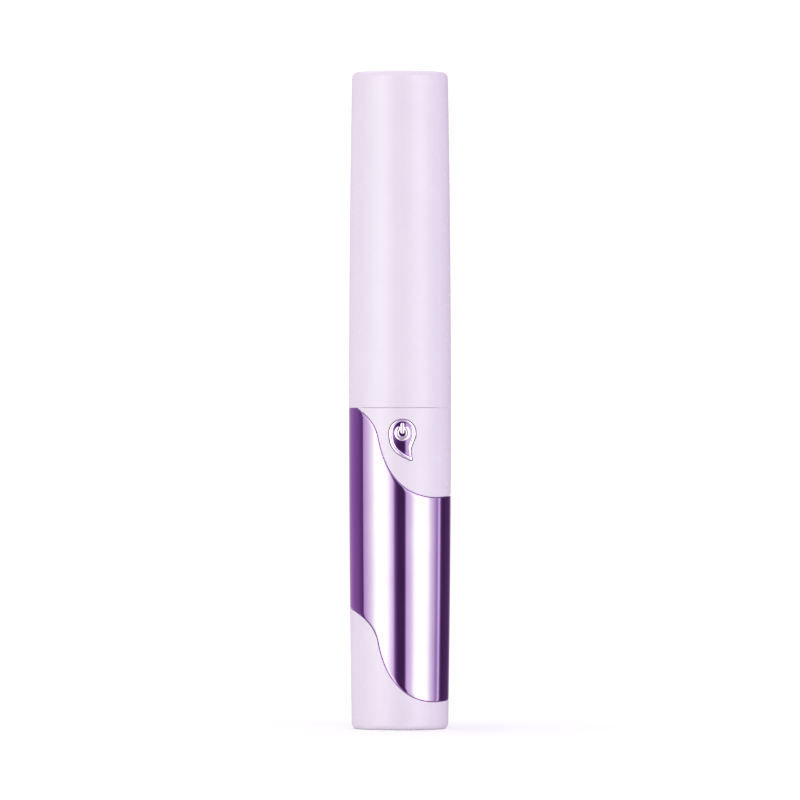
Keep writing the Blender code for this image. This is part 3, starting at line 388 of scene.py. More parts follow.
def block(name, low, high, finish, ease=0.0):
    """A block between two corners, with its edges rounded."""
    sheet = bmesh.new()
    bmesh.ops.create_cube(sheet, size=1.0)
    for vert in sheet.verts:
        vert.co = Vector((a + (b - a) * (c + 0.5) for a, b, c in zip(low, high, vert.co)))
    if ease:
        edges = {"geom": sheet.edges[:], "offset": ease, "affect": "EDGES"}
        bmesh.ops.bevel(sheet, segments=3, profile=0.5, **edges)
    return new_piece(name, mesh_from(sheet, name), finish)


def screw(node, inward):
    """A slotted screw in place of its CAD node; inward is the way it goes in along y, 1 or -1."""
    radius, top, shank_radius = SCREW_HEAD_RADIUS, SCREW_HEAD_HEIGHT, SCREW_RADIUS * 0.8
    corners = [(0.0, -0.1 * MM), (shank_radius, -0.1 * MM), (shank_radius, 0.0), (radius, 0.0, 0.05 * MM)]
    corners += [(radius, top * 0.7, 0.2 * MM), (radius * 0.7, top), (0.0, top)]
    head = turned_piece(f"{node}_head", corners, nickel, 32)
    half = SCREW_SLOT / 2
    slot = block("slot", (-2 * MM, -half, top * 0.45), (2 * MM, half, 2 * top), nickel)
    combined(head, "DIFFERENCE", slot)
    low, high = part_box(node)
    sizes = {"Length": high.y - low.y - top, "Radius": SCREW_RADIUS}
    sizes |= {"Pitch": THREAD_PITCH, "Depth": THREAD_DEPTH}
    shank = grown(f"{node}_shank", threaded, line_of([(0.0, 0.0, 0.0)]), nickel, **sizes)
    seat = (low + high) / 2
    seat.y = (low.y if inward > 0 else high.y) + inward * top
    turn = Vector((0.0, 0.0, -1.0)).rotation_difference(Vector((0.0, inward, 0.0)))
    piece = moved(joined(head, shank), lambda co: turn @ co + seat)
    hand_over(piece, "handle", "nickel_steel", node)


turned = turned_tree()
threaded = thread_tree()
BRIGHT_NICKEL = (0.62, 0.60, 0.56)
nickel = new_finish(
    "nickel plate",
    (BRIGHT_NICKEL, [0.9 * channel for channel in BRIGHT_NICKEL], (2,)),
    (0.20, 0.34, (0.5,)),
    (0.001, (0.15, 2.0, 0.1)),
    Metallic=1.0,
)
for node, inward in (("board_screw_left", 1), ("board_screw_right", 1), ("head_screw", -1)):
    screw(node, inward)


# ---------------------------------------------------------------- components on the board
# Control chip, power inductor and transistor in black epoxy or ferrite, and a ceramic capacitor. They
# are soldered flat to the board by tinned legs or end caps.
LEG_THICKNESS = 0.12 * MM
LEG_ROOT = 0.2 * MM
PAD_WIDTH = 0.5 * MM
END_CAP = 0.35 * MM


def one_grain(name, first, second, gloss, grain, depth, **values):
    """A finish whose tones, roughness and relief all follow one grain."""
    return new_finish(name, (first, second, grain), (*gloss, grain), (depth, grain), **values)


def row_tree():
    """Stands copies of the starting piece along a line, in equal steps."""
    tree, given = new_tree("Row of legs", Count="Int", First="Vector", Step="Vector")
    line = {"Count": given["Count"], "Start Location": given["First"], "Offset": given["Step"]}
    points = add_node(tree, "GeometryNodeMeshLine", line, mode="OFFSET").outputs[0]
    stood = {"Points": points, "Instance": given["Start"]}
    return finished(tree, given, add_node(tree, "GeometryNodeInstanceOnPoints", stood).outputs[0])


def bent_strip(outline, width):
    """A mesh of a bent metal strip: its outline in x and y, this wide along z round the origin."""
    sheet = bmesh.new()
    low_face = sheet.faces.new([sheet.verts.new((x, y, -width / 2)) for x, y in outline])
    pulled = bmesh.ops.extrude_face_region(sheet, geom=[low_face])["geom"]
    for vert in (part for part in pulled if isinstance(part, bmesh.types.BMVert)):
        vert.co.z += width
    bmesh.ops.recalc_face_normals(sheet, faces=sheet.faces)
    return mesh_from(sheet, "strip")


def gull_leg(reach, rise, side):
    """A leg's outline: out of the body at this rise, down, and flat on the pad at its reach."""
    t = LEG_THICKNESS
    middle = reach * 0.45
    shape = [(-LEG_ROOT, rise), (middle, rise), (middle + t, 0.0), (reach, 0.0), (reach, t)]
    shape += [(middle + 2 * t, t), (middle + t, rise + t), (-LEG_ROOT, rise + t)]
    return [(side * x, y) for x, y in shape]


def epoxy_part(node, inset, leg_rows):
    """A moulded body set in from its CAD box, with rows of tinned legs along its two sides."""
    low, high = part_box(node)
    body_low = (low.x + inset, low.y + 0.1 * MM, low.z)
    body = block(f"{node}_body", body_low, (high.x - inset, high.y, high.z), epoxy, 0.08 * MM)
    hand_over(body, "handle", "chip_black", node)
    for side, count in leg_rows:
        step = (high.z - low.z) / count
        x = low.x + inset if side < 0 else high.x - inset
        leg = bent_strip(gull_leg(inset, (high.y - low.y) * 0.4, side), step * 0.4)
        sizes = {"Count": count, "First": (x, low.y, low.z + step / 2), "Step": (0.0, 0.0, step)}
        name = f"{node}_legs_{'left' if side < 0 else 'right'}"
        hand_over(grown(name, rows_of, leg, nickel, **sizes), "handle", "nickel_steel")


dark, less_dark = (0.012, 0.012, 0.013), (0.024, 0.024, 0.026)
epoxy = one_grain("black epoxy", dark, less_dark, (0.45, 0.62), (0.06, 4.0), 0.006, IOR=1.5)
buff, pale_buff = (0.66, 0.60, 0.50), (0.76, 0.70, 0.60)
ceramic = one_grain("fired ceramic", buff, pale_buff, (0.5, 0.7), (0.08, 4.0), 0.008, IOR=1.6)
rows_of = row_tree()
epoxy_part("control_chip", 0.5 * MM, ((-1, 4), (1, 4)))
epoxy_part("power_transistor", 0.45 * MM, ((-1, 2), (1, 1)))

low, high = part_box("power_inductor")
drum_low = (low.x + 0.06 * MM, low.y, low.z)
drum = block("inductor_body", drum_low, (high.x - 0.06 * MM, high.y, high.z), epoxy, 0.3 * MM)
hand_over(drum, "handle", "chip_black", "power_inductor")
for x, name in ((low.x, "left"), (high.x - PAD_WIDTH, "right")):
    pad_low = (x, low.y - 0.04 * MM, low.z + 0.5 * MM)
    pad_high = (x + PAD_WIDTH, low.y + 0.6 * MM, high.z - 0.5 * MM)
    pad = block(f"inductor_pad_{name}", pad_low, pad_high, nickel, 0.03 * MM)
    hand_over(pad, "handle", "nickel_steel")

low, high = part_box("capacitor")
middle = (low + high) / 2
cap_radius = (high.z - low.z) / 2
for name, start, stop, radius, finish, slot in (
    ("body", low.x + END_CAP * 0.8, high.x - END_CAP * 0.8, cap_radius - 0.05 * MM, ceramic, "ceramic"),
    ("end_left", low.x, low.x + END_CAP, cap_radius, nickel, "nickel_steel"),
    ("end_right", high.x - END_CAP, high.x, cap_radius, nickel, "nickel_steel"),
):
    corners = [(0.0, start), (radius, start, 0.1 * MM), (radius, stop, 0.1 * MM), (0.0, stop)]
    part = turned_piece(f"capacitor_{name}", corners, finish, 32)
    moved(part, lambda co: Vector((co.z, co.y + middle.y, middle.z - co.x)))
    hand_over(part, "handle", slot, *(["capacitor"] if name == "body" else []))


# ---------------------------------------------------------------- tact switch
# The switch that the power button presses: a nylon body with a round well, a tinned steel cover that
# is staked at its corners, four legs, and a black plunger that slides in the well.
PLUNGER_RADIUS = 1.2 * MM
PLUNGER_TRAVEL = 0.5 * MM
WELL_CLEARANCE = 0.15 * MM
STAKE_INSET = 0.55 * MM


def round_plug(name, radius, front, back, ease, finish, x, z):
    """A round plug along y at this place, with its ends' edges rounded."""
    corners = [(0.0, -back), (radius, -back, ease), (radius, -front, ease), (0.0, -front)]
    plug = turned_piece(name, corners, finish, 48)
    return moved(plug, lambda co: Vector((x + co.x, -co.z, z + co.y)))


low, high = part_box("switch_body")
switch_x = (low.x + high.x) / 2
switch_z = (low.z + high.z) / 2
pin_low, pin_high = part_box("switch_plunger")
well = PLUNGER_RADIUS + WELL_CLEARANCE
for node, finish, slot, ease in (
    ("switch_body", epoxy, "chip_black", 0.15 * MM),
    ("switch_cover", nickel, "nickel_steel", 0.06 * MM),
):
    part_low, part_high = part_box(node)
    well_back = min(part_high.y + MM, pin_high.y + PLUNGER_TRAVEL)
    drill = round_plug("drill", well, part_low.y - MM, well_back, 0.0, finish, switch_x, switch_z)
    part = combined(block(f"{node}_block", part_low, part_high, finish, ease), "DIFFERENCE", drill)
    hand_over(part, "handle", slot, node)
stakes = [
    round_plug("switch_stake", 0.28 * MM, low.y - 0.45 * MM, low.y + 0.2 * MM, 0.1 * MM, epoxy, x, z)
    for x in (low.x + STAKE_INSET, high.x - STAKE_INSET)
    for z in (low.z + STAKE_INSET, high.z - STAKE_INSET)
]
hand_over(joined(*stakes), "handle", "chip_black")
ends = {"front": pin_low.y, "back": pin_high.y, "ease": 0.18 * MM}
plunger = round_plug("switch_plunger_pin", PLUNGER_RADIUS, finish=epoxy, x=switch_x, z=switch_z, **ends)
hand_over(plunger, "switch_plunger", "chip_black", "switch_plunger")


# ---------------------------------------------------------------- cell and contacts
# One AAA cell: a nickel-plated steel can in a shrunk film sleeve, rolled in at both ends. A conical
# spring of wire on a stamped plate presses it against the flat contact.
CELL_CRIMP = 0.25 * MM
NUB_RADIUS = 1.9 * MM
NUB_HEIGHT = 0.9 * MM
FILM_EASE = 0.35 * MM
FILM_WALL = 0.06 * MM
FILM_OVER = 0.02 * MM
FILM_UNDER = 0.03 * MM
SPRING_WIRE = 0.30 * MM
SPRING_RADII = (4.2 * MM, 2.0 * MM)
SPRING_TURNS = 3
PLATE_DISH = 0.08 * MM


def wire_tree():
    """A round wire along a line of points, with closed ends."""
    tree, given = new_tree("Round wire", Radius="Float", Sides="Int")
    path = add_node(tree, "GeometryNodeMeshToCurve", {"Mesh": given["Start"]}).outputs[0]
    section = {"Radius": given["Radius"], "Resolution": given["Sides"]}
    circle = add_node(tree, "GeometryNodeCurvePrimitiveCircle", section).outputs[0]
    swept = {"Curve": path, "Profile Curve": circle, "Fill Caps": True}
    return finished(tree, given, add_node(tree, "GeometryNodeCurveToMesh", swept).outputs[0])


round_wire = wire_tree()


def winding(radii, heights, turns, steps, y=0.0):
    """Places along a winding, whose radius and height run evenly from the first to the last."""
    places = []
    for step in range(steps * turns + 1):
        share = step / (steps * turns)
        angle = math.tau * turns * share
        radius, z = (a + (b - a) * share for a, b in (radii, heights))
        places.append((radius * math.cos(angle), y + radius * math.sin(angle), z))
    return places


def wire(name, points, radius, finish, sides=12):
    """A wire through these places."""
    line = line_of(points, [(i, i + 1) for i in range(len(points) - 1)])
    return grown(name, round_wire, line, finish, Radius=radius, Sides=sides)


film = new_finish(
    "cell film",
    ((0.045, 0.05, 0.06), (0.06, 0.065, 0.075), (6,)),
    (0.3, 0.4, (6,)),
    (0.02, (3,)),
    IOR=1.5,
    Coat_Weight=0.6,
    Coat_Roughness=0.12,
)
low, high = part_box("battery_cell")
can_top = high.z - NUB_HEIGHT
can_crimp = can_top - CELL_CRIMP
can_side = high.x - FILM_WALL
can_corners = [
    (0.0, low.z + CELL_CRIMP),
    (3.1 * MM, low.z + CELL_CRIMP, 0.1 * MM),
    (3.4 * MM, low.z, 0.12 * MM),
    (can_side, low.z, 0.3 * MM),
    (can_side, can_top, 0.45 * MM),
    (3.9 * MM, can_top, 0.2 * MM),
    (3.6 * MM, can_crimp, 0.15 * MM),
    (NUB_RADIUS + 0.3 * MM, can_crimp, 0.2 * MM),
    (NUB_RADIUS, can_top, 0.1 * MM),
    (NUB_RADIUS, high.z, 0.2 * MM),
    (0.0, high.z),
]
can = turned_piece("cell_can", can_corners, nickel, 96)
hand_over(can, "handle", "nickel_steel", "battery_cell")
foot_turn = high.x - 0.75 * MM
top_turn = high.x - 0.95 * MM
film_corners = [
    (foot_turn, low.z - FILM_OVER),
    (high.x, low.z - FILM_OVER, FILM_EASE),
    (high.x, can_top + FILM_UNDER, FILM_EASE),
    (top_turn, can_top + FILM_UNDER),
    (top_turn, can_top - FILM_OVER),
    (can_side, can_top - FILM_OVER, FILM_EASE),
    (can_side, low.z + FILM_UNDER, FILM_EASE),
    (foot_turn, low.z + FILM_UNDER),
]
film_sleeve = turned_piece("cell_film_sleeve", film_corners, film, 96, closed=True)
hand_over(film_sleeve, "handle", "cell_jacket")

low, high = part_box("spring_plate")
plate_corners = [(0.0, low.z), (high.x, low.z, 0.08 * MM), (high.x, high.z, 0.08 * MM)]
plate_corners += [(high.x * 0.62, high.z, 0.15 * MM), (high.x * 0.58, high.z - PLATE_DISH, 0.15 * MM)]
plate = turned_piece("spring_plate_disc", [*plate_corners, (0.0, high.z - PLATE_DISH)], nickel, 96)
hand_over(plate, "battery_cover", "nickel_steel", "spring_plate")

low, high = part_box("battery_spring")
spring_ends = (low.z + SPRING_WIRE, high.z - SPRING_WIRE)
spring_points = winding(SPRING_RADII, spring_ends, SPRING_TURNS, steps=28)
spring = wire("battery_spring_coil", spring_points, SPRING_WIRE, nickel)
hand_over(spring, "battery_cover", "nickel_steel", "battery_spring")
refinish(nickel, "positive_contact", "negative_strip")


# ---------------------------------------------------------------- plated sleeve
# The purple sleeve round the middle: an ABS moulding, vacuum plated with bright metal and clear
# coated in purple. Both its ends are cut to a wave, and its edges are softly rounded.
BODY_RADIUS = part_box("cap")[1].x
SHELL_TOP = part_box("plated_sleeve")[1].z
CAP_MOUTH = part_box("cap")[0].z
SEAM_HEIGHT = (SHELL_TOP + CAP_MOUTH) / 2
TIP_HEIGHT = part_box("cap")[1].z
FOOT_TAPER = 0.55 * MM  # how much less the radius is at each end than at the cap seam
TIP_TAPER = 0.62 * MM
SHELL_BORE = 8.5 * MM
LIP_BORE = 7.65 * MM
LIP_WALL = 0.9 * MM
EDGE_ROUND = 0.12 * MM
EDGE_STEPS = 4
PANEL_GAP = 0.10 * MM
WAVE_DROP = 18.35 * MM
LOWER_WAVE_LOW = 5.45 * MM
UPPER_WAVE_LOW = SEAM_HEIGHT - 17.5 * MM
WAVE_STEPS = 90
COLUMNS = 116
SLEEVE_ROWS = 56
BORE_ROWS = 10
NEAR_SIDE = 0.9999  # as far across as a place is put, so that columns don't meet at the side
# Near the pen's sides, from this share of its radius and over this much more, a line beside a seam
# goes over from standing off square to the seam to standing off upright
FADE_START = 0.6
FADE_RUN = 0.38

# The wave seen from the front, as shares of BODY_RADIUS across and of WAVE_DROP up from its low
# point: cubic stretches, each as start, two handles and end.
WAVE_STRETCHES = (
    ((-1.00, 1.000), (-0.44, 0.840), (-0.44, 0.650), (-0.41, 0.590)),
    ((-0.41, 0.590), (-0.29, 0.285), (0.04, 0.000), (0.71, 0.000)),
    ((0.71, 0.000), (0.80, 0.000), (0.90, 0.005), (1.00, 0.015)),
)


def barrel(z):
    """The pen's outer radius at a height: widest at the cap seam, with a slight belly to both ends."""
    if z < SEAM_HEIGHT:
        return BODY_RADIUS - FOOT_TAPER * ((SEAM_HEIGHT - z) / SEAM_HEIGHT) ** 2
    return BODY_RADIUS - TIP_TAPER * ((z - SEAM_HEIGHT) / (TIP_HEIGHT - SEAM_HEIGHT)) ** 2


def turn_of(point):
    """How far round from the front a point of the front view lies on the barrel, in radians."""
    return math.asin(max(-1.0, min(1.0, point.x / barrel(point.y))))


def on_cubic(stretch, t):
    """The point at t, from 0 to 1, on a cubic stretch."""
    a, b, c, d = (Vector(point) for point in stretch)
    return a * (1 - t) ** 3 + b * (3 * t * (1 - t) ** 2) + c * (3 * t**2 * (1 - t)) + d * t**3


def sampled(stretches, steps):
    """Points along joined cubic stretches, each taken in equal steps."""
    points = [on_cubic(stretch, step / steps) for stretch in stretches for step in range(steps)]
    return [*points, Vector(stretches[-1][-1])]


def height_at(line, x):
    """The height of a left-to-right line at x. Past its ends it goes on straight."""
    for left, right in zip(line, line[1:]):
        if x <= right.x:
            break
    return left.y + (right.y - left.y) * (x - left.x) / (right.x - left.x)


class Seam:
    """The wave at one height, as columns spaced evenly along it as it runs round half the barrel."""

    def __init__(self, low):
        wave = sampled(WAVE_STRETCHES, WAVE_STEPS)
        wave = [Vector((p.x * BODY_RADIUS, low + p.y * WAVE_DROP)) for p in wave]
        line = [p for p in wave if abs(p.x) < barrel(p.y) - 0.001 * MM]
        line.insert(0, self.at_side(line[0], line[1]))
        line.append(self.at_side(line[-1], line[-2]))
        run = [0.0]
        for here, there in zip(line, line[1:]):
            turn = (turn_of(there) - turn_of(here)) * BODY_RADIUS
            run.append(run[-1] + math.hypot(turn, there.y - here.y))
        self.columns = []
        reached = 0
        for k in range(COLUMNS + 1):
            wanted = run[-1] * k / COLUMNS
            while run[reached + 1] < wanted and reached + 2 < len(run):
                reached += 1
            share = (wanted - run[reached]) / max(run[reached + 1] - run[reached], 1e-12)
            self.columns.append(line[reached].lerp(line[reached + 1], share))
        self.normals = [Vector((-along.y, along.x)) for along in headings(self.columns)]
        self.inner = []
        for column in self.columns:
            share = min(max((abs(column.x) / BODY_RADIUS - FADE_START) / FADE_RUN, 0.0), 1.0)
            self.inner.append(1.0 - share * share * (3.0 - 2.0 * share))

    @staticmethod
    def at_side(last, before):
        """Where the wave, gone on straight from its last point, meets the barrel's side."""
        slope = (last.y - before.y) / (last.x - before.x)
        side_x = math.copysign(barrel(last.y), last.x)
        return Vector((side_x, last.y + slope * (side_x - last.x)))

    def beside(self, away, radius_at):
        """Front points of a line that runs `away` above the seam, square to it, at a radius."""
        line = [column + normal * away for column, normal in zip(self.columns, self.normals)]
        line.insert(0, 2 * line[0] - line[1])
        line.append(2 * line[-1] - line[-2])
        points = []
        for column, normal, inner in zip(self.columns, self.normals, self.inner):
            z = column.y + normal.y * away
            for _ in range(3):
                squeeze = inner + (1.0 - inner) * radius_at(z) / barrel(z)
                z = height_at(line, column.x * squeeze + inner * normal.x * away)
            points.append(Vector((column.x * squeeze + inner * normal.x * away, z)))
        return line, points


def headings(line):
    """The unit direction of a line at each of its points."""
    ends = [2 * line[0] - line[1], *line, 2 * line[-1] - line[-2]]
    return [(after - before).normalized() for before, after in zip(ends, ends[2:])]


def on_front(points, radius_at):
    """Places on the front of the pen at a radius, from their front view."""
    places = []
    for point in points:
        radius = radius_at(point.y)
        x = max(-NEAR_SIDE * radius, min(NEAR_SIDE * radius, point.x))
        places.append(Vector((x, -math.sqrt(radius * radius - x * x), point.y)))
    return places


def behind(front):
    """The same places on the back, from the right to the left."""
    return [Vector((place.x, -place.y, place.z)) for place in reversed(front)]


def whole_ring(points, radius_at):
    """A closed ring of places: the front points from left to right, then the same points behind."""
    left = Vector((-radius_at(points[0].y), 0.0, points[0].y))
    right = Vector((radius_at(points[-1].y), 0.0, points[-1].y))
    front = on_front(points[1:-1], radius_at)
    return [left, *front, right, *behind(front)]


def shell_piece(name, rings, finish, closed_ring=True, closed_loop=True, trim=None):
    """A mesh skinned over rings of places. closed_loop joins the last ring to the first, and trim
    gives some rings a second finish: (finish, first ring, last ring)."""
    sheet = bmesh.new()
    rows = [[sheet.verts.new(place) for place in ring] for ring in rings]
    row_pairs = list(zip(rows, [*rows[1:], rows[0]] if closed_loop else rows[1:]))
    for row, (low, high) in enumerate(row_pairs):
        for k in range(len(low) if closed_ring else len(low) - 1):
            after = (k + 1) % len(low)
            face = sheet.faces.new((low[k], low[after], high[after], high[k]))
            if trim:
                face.material_index = int(trim[1] <= row < trim[2])
    bmesh.ops.remove_doubles(sheet, verts=sheet.verts, dist=0.002 * MM)
    bmesh.ops.dissolve_degenerate(sheet, edges=sheet.edges, dist=0.001 * MM)
    loose = [edge for edge in sheet.edges if not edge.link_faces]
    bmesh.ops.delete(sheet, geom=loose, context="EDGES")
    bmesh.ops.holes_fill(sheet, edges=[edge for edge in sheet.edges if edge.is_boundary], sides=0)
    bmesh.ops.recalc_face_normals(sheet, faces=sheet.faces)
    return new_piece(name, mesh_from(sheet, name, finish, *(trim or ())[:1]))


def under(depth):
    """The barrel's radius less a depth, as a function of height."""
    return lambda z: barrel(z) - depth


def quarter_turn(steps):
    """The cosine and sine of angles in equal steps from 0 to 90 degrees."""
    angles = [math.pi / 2 * step / steps for step in range(steps + 1)]
    return [(math.cos(angle), math.sin(angle)) for angle in angles]


def edge_rings(points_at, ring_of):
    """Rings round an edge's rounding, from its wall out to the face. points_at(run_in, radius_at)
    gives the edge's front points there, and ring_of makes them a ring."""
    rings = []
    for across, up in quarter_turn(EDGE_STEPS):
        radius_at = under(EDGE_ROUND * (1 - up))
        rings.append(ring_of(points_at(EDGE_ROUND * (1 - across), radius_at), radius_at))
    return rings


def straight(radius):
    """The same radius at every height."""
    return lambda z: radius


at_bore = straight(SHELL_BORE)
at_lip = straight(LIP_BORE)
plated = new_finish(
    "plated purple",
    ((0.345, 0.140, 0.520), (0.375, 0.158, 0.555), (11,)),
    (0.045, 0.075, (1.1,)),
    (0.004, (7, 2.0, 0.35)),
    (0.0002, (0.09, 3.0)),
    Metallic=1.0,
)
lower_seam = Seam(LOWER_WAVE_LOW)
upper_seam = Seam(UPPER_WAVE_LOW)


def crossing(line, level):
    """Where a falling line goes down through a level, as x."""
    for left, right in zip(line, line[1:]):
        if left.y >= level >= right.y and left.y > right.y:
            return left.x + (right.x - left.x) * (left.y - level) / (left.y - right.y)
    return line[0].x


def cut_level(points, level):
    """The front points, with none above a level."""
    return [Vector((point.x, min(point.y, level))) for point in points]


def sleeve_top(run_in, radius_at):
    """The sleeve's upper edge: the cap seam's level on the left, and the wave from the corner on."""
    line, points = upper_seam.beside(-PANEL_GAP / 2 - run_in, radius_at)
    level = SHELL_TOP - run_in
    corner_x = crossing(line, level)
    nearest = min(range(len(points)), key=lambda k: abs(points[k].x - corner_x))
    points[nearest] = Vector((corner_x, level))
    return cut_level(points, level)


def sleeve_rings():
    """From the lower edge inside, out round its rounding, up the outside, and back down the bore."""

    def low_edge(run_in, radius_at):
        return lower_seam.beside(PANEL_GAP / 2 + run_in, radius_at)[1]

    low_inner = low_edge(0.0, at_bore)
    rings = [whole_ring(low_inner, at_bore), *edge_rings(low_edge, whole_ring)]
    low = low_edge(EDGE_ROUND, under(0.0))
    high = sleeve_top(EDGE_ROUND, under(0.0))
    for row in range(1, SLEEVE_ROWS):
        share = row / SLEEVE_ROWS
        points = []
        for a, b in zip(low, high):
            z = a.y + (b.y - a.y) * share
            turn = (1 - share) * turn_of(a) + share * turn_of(b)
            points.append(Vector((barrel(z) * math.sin(turn), z)))
        rings.append(whole_ring(points, under(0.0)))
    rings += reversed(edge_rings(sleeve_top, whole_ring))
    high_inner = sleeve_top(0.0, at_lip)
    under_lip = SHELL_TOP - LIP_WALL
    bore_top = cut_level(sleeve_top(0.0, at_bore), under_lip)
    rings.append(whole_ring(high_inner, at_lip))
    rings.append(whole_ring(cut_level(high_inner, under_lip), at_lip))
    for row in range(BORE_ROWS):
        share = row / BORE_ROWS
        rings.append(whole_ring([b.lerp(a, share) for a, b in zip(low_inner, bore_top)], at_bore))
    return rings


sleeve = shell_piece("plated_sleeve_shell", sleeve_rings(), plated)
hand_over(sleeve, "handle", "plated_purple", "plated_sleeve")


# ---------------------------------------------------------------- upper panel
# The lavender panel round the button: a glossy ABS moulding that wraps from one tip at the front to
# the same tip behind. It snaps over the chassis, and has the drop-shaped slot for the button.
BUTTON_X = 0.47 * MM
BUTTON_HEIGHT = SEAM_HEIGHT - 4.9 * MM
BUTTON_RADIUS = 2.65 * MM
BUTTON_TAIL = 5.4 * MM
BUTTON_GAP = 0.09 * MM
PANEL_ROWS = 34
PANEL_BORE_ROWS = 8
TIP_FADE = 20

# The button's outline, as shares of BUTTON_RADIUS across and up, and of BUTTON_TAIL down.
DROP_STRETCHES = (
    ((0.00, 1.00), (-0.56, 1.00), (-1.00, 0.55), (-1.00, 0.00)),
    ((-1.00, 0.00), (-1.00, -0.55), (-0.55, -0.76), (0.52, -0.985)),
    ((0.52, -0.985), (0.66, -1.015), (0.76, -0.99), (0.71, -0.91)),
    ((0.71, -0.91), (0.42, -0.44), (1.05, -0.30), (1.00, 0.00)),
    ((1.00, 0.00), (1.00, 0.55), (0.56, 1.00), (0.00, 1.00)),
)


def panel_line(run_in, radius_at):
    """The panel's lower edge from its front tip to the right side, `run_in` from its true edge."""
    line, points = upper_seam.beside(PANEL_GAP / 2 + run_in, radius_at)
    outer_line, outer_points = upper_seam.beside(PANEL_GAP / 2, under(0.0))
    outer_tip = crossing(outer_line, SHELL_TOP)
    first = min(k for k, point in enumerate(outer_points) if point.x > outer_tip + 0.1 * MM)
    tip = Vector((crossing(line, SHELL_TOP - run_in), SHELL_TOP - run_in))
    edge = [tip]
    for k in range(first, COLUMNS):
        fade = max(0.0, 1.0 - (k - first) / TIP_FADE) ** 2
        x = points[k].x + (tip.x - outer_tip) * fade
        edge.append(Vector((x, min(height_at(line, x), tip.y))))
    return [*edge, points[-1]]


def raised(edge, level, radius_at):
    """The same columns of the panel, lifted to a level."""
    lifted = []
    for point in edge:
        z = max(point.y, level)
        lifted.append(Vector((point.x * radius_at(z) / radius_at(point.y), z)))
    return lifted


def round_the_right(points, radius_at):
    """Places along the front points and then back along the same points behind."""
    front = on_front(points[:-1], radius_at)
    right = Vector((radius_at(points[-1].y), 0.0, points[-1].y))
    return [*front, right, *behind(front)]


def panel_rows():
    """From the wavy edge inside, out round its rounding, up the outside, and back down the bore."""

    def high_edge(run_in, radius_at):
        return raised(panel_line(run_in, radius_at), SHELL_TOP - run_in, radius_at)

    low_inner = panel_line(0.0, at_bore)
    rows = [round_the_right(low_inner, at_bore), *edge_rings(panel_line, round_the_right)]
    low = panel_line(EDGE_ROUND, under(0.0))
    high = raised(low, SHELL_TOP - EDGE_ROUND, under(0.0))
    for step in range(1, PANEL_ROWS):
        share = step / PANEL_ROWS
        points = []
        for a, b in zip(low, high):
            z = a.y + (b.y - a.y) * share
            points.append(Vector((a.x * barrel(z) / barrel(a.y), z)))
        rows.append(round_the_right(points, under(0.0)))
    rows += reversed(edge_rings(high_edge, round_the_right))
    lip_edge = panel_line(0.0, at_lip)
    rows.append(round_the_right(raised(lip_edge, SHELL_TOP, at_lip), at_lip))
    rows.append(round_the_right(raised(lip_edge, SHELL_TOP - LIP_WALL, at_lip), at_lip))
    high_inner = raised(low_inner, SHELL_TOP - LIP_WALL, at_bore)
    for step in range(PANEL_BORE_ROWS):
        points = [b.lerp(a, step / PANEL_BORE_ROWS) for a, b in zip(low_inner, high_inner)]
        rows.append(round_the_right(points, at_bore))
    return rows


def drop_outline(grow=0.0, across=1.0, along=1.0, steps=14):
    """The button's outline, scaled by its shares and then grown square to itself."""
    points = []
    for point in sampled(DROP_STRETCHES, steps)[:-1]:
        height = BUTTON_RADIUS if point.y > 0 else BUTTON_TAIL
        points.append(Vector((point.x * BUTTON_RADIUS * across, point.y * height * along)))
    outline = []
    for before, point, after in zip([points[-1], *points], points, [*points[1:], points[0]]):
        direction = (after - before).normalized()
        outline.append(point + Vector((direction.y, -direction.x)) * grow)
    return [point + Vector((BUTTON_X, BUTTON_HEIGHT)) for point in outline]


def closed_by(ring, radius_at):
    """A ring drawn together to its middle, which closes a piece there."""
    middle = sum(ring, Vector((0.0, 0.0))) / len(ring)
    return on_front([middle] * len(ring), radius_at)


def slot_cutter():
    """Cuts the button's slot and leaves the panel a rounded edge round it."""
    deep = drop_outline(BUTTON_GAP)
    wide = drop_outline(BUTTON_GAP + EDGE_ROUND)
    rings = [closed_by(deep, under(4 * MM)), on_front(deep, under(4 * MM))]
    rings += edge_rings(lambda run_in, radius_at: drop_outline(BUTTON_GAP + run_in), on_front)
    rings += [on_front(wide, under(-MM)), closed_by(wide, under(-MM))]
    return shell_piece("slot_cutter", rings, plated, closed_loop=False)


lavender = moulded_plastic(
    "lavender ABS",
    (0.765, 0.680, 0.805),
    (0.785, 0.700, 0.825),
    (0.20, 0.28),
    0.0004,
    IOR=1.5,
    Specular_IOR_Level=0.16,
)
panel = shell_piece("upper_panel", panel_rows(), lavender, closed_ring=False)
combined(panel, "DIFFERENCE", slot_cutter())
hand_over(panel, "handle", "lavender_plastic", "upper_shell")


# ---------------------------------------------------------------- power button
# One plated moulding: a rounded rim in a rougher satin metal whose lighter colour is a painted
# highlight, a recessed floor with the raised standby symbol, and the flange and post behind that
# keep it in the shell and press the switch.
RECESS_ACROSS = 0.725
RECESS_ALONG = 0.83
RECESS_DEPTH = 0.35 * MM
BUTTON_INSET = 0.04 * MM
RIM_BULGE = 0.20 * MM
FLOOR_FILLET = 0.06 * MM
FLANGE_GROW = 0.45 * MM
FLANGE_RADIUS = 8.35 * MM
FLANGE_BORE = 7.65 * MM
POST_RADIUS = 1.1 * MM
POST_TIP_Y = -6.2 * MM
POST_EASE = 0.1 * MM
SYMBOL_RADIUS = 1.14 * MM
SYMBOL_ROOT = 0.05 * MM
SYMBOL_EDGE = 0.14 * MM
RING_HALF = 0.43 * MM
BAR_HALF = 0.37 * MM
BAR_ENDS = (-0.20 * MM, 2.0 * MM)
SYMBOL_GAP = 42.0  # degrees from the bar to each end of the ring
BUTTON_MIDDLE = Vector((BUTTON_X, BUTTON_HEIGHT))
at_flange = straight(FLANGE_RADIUS)
at_flange_bore = straight(FLANGE_BORE)
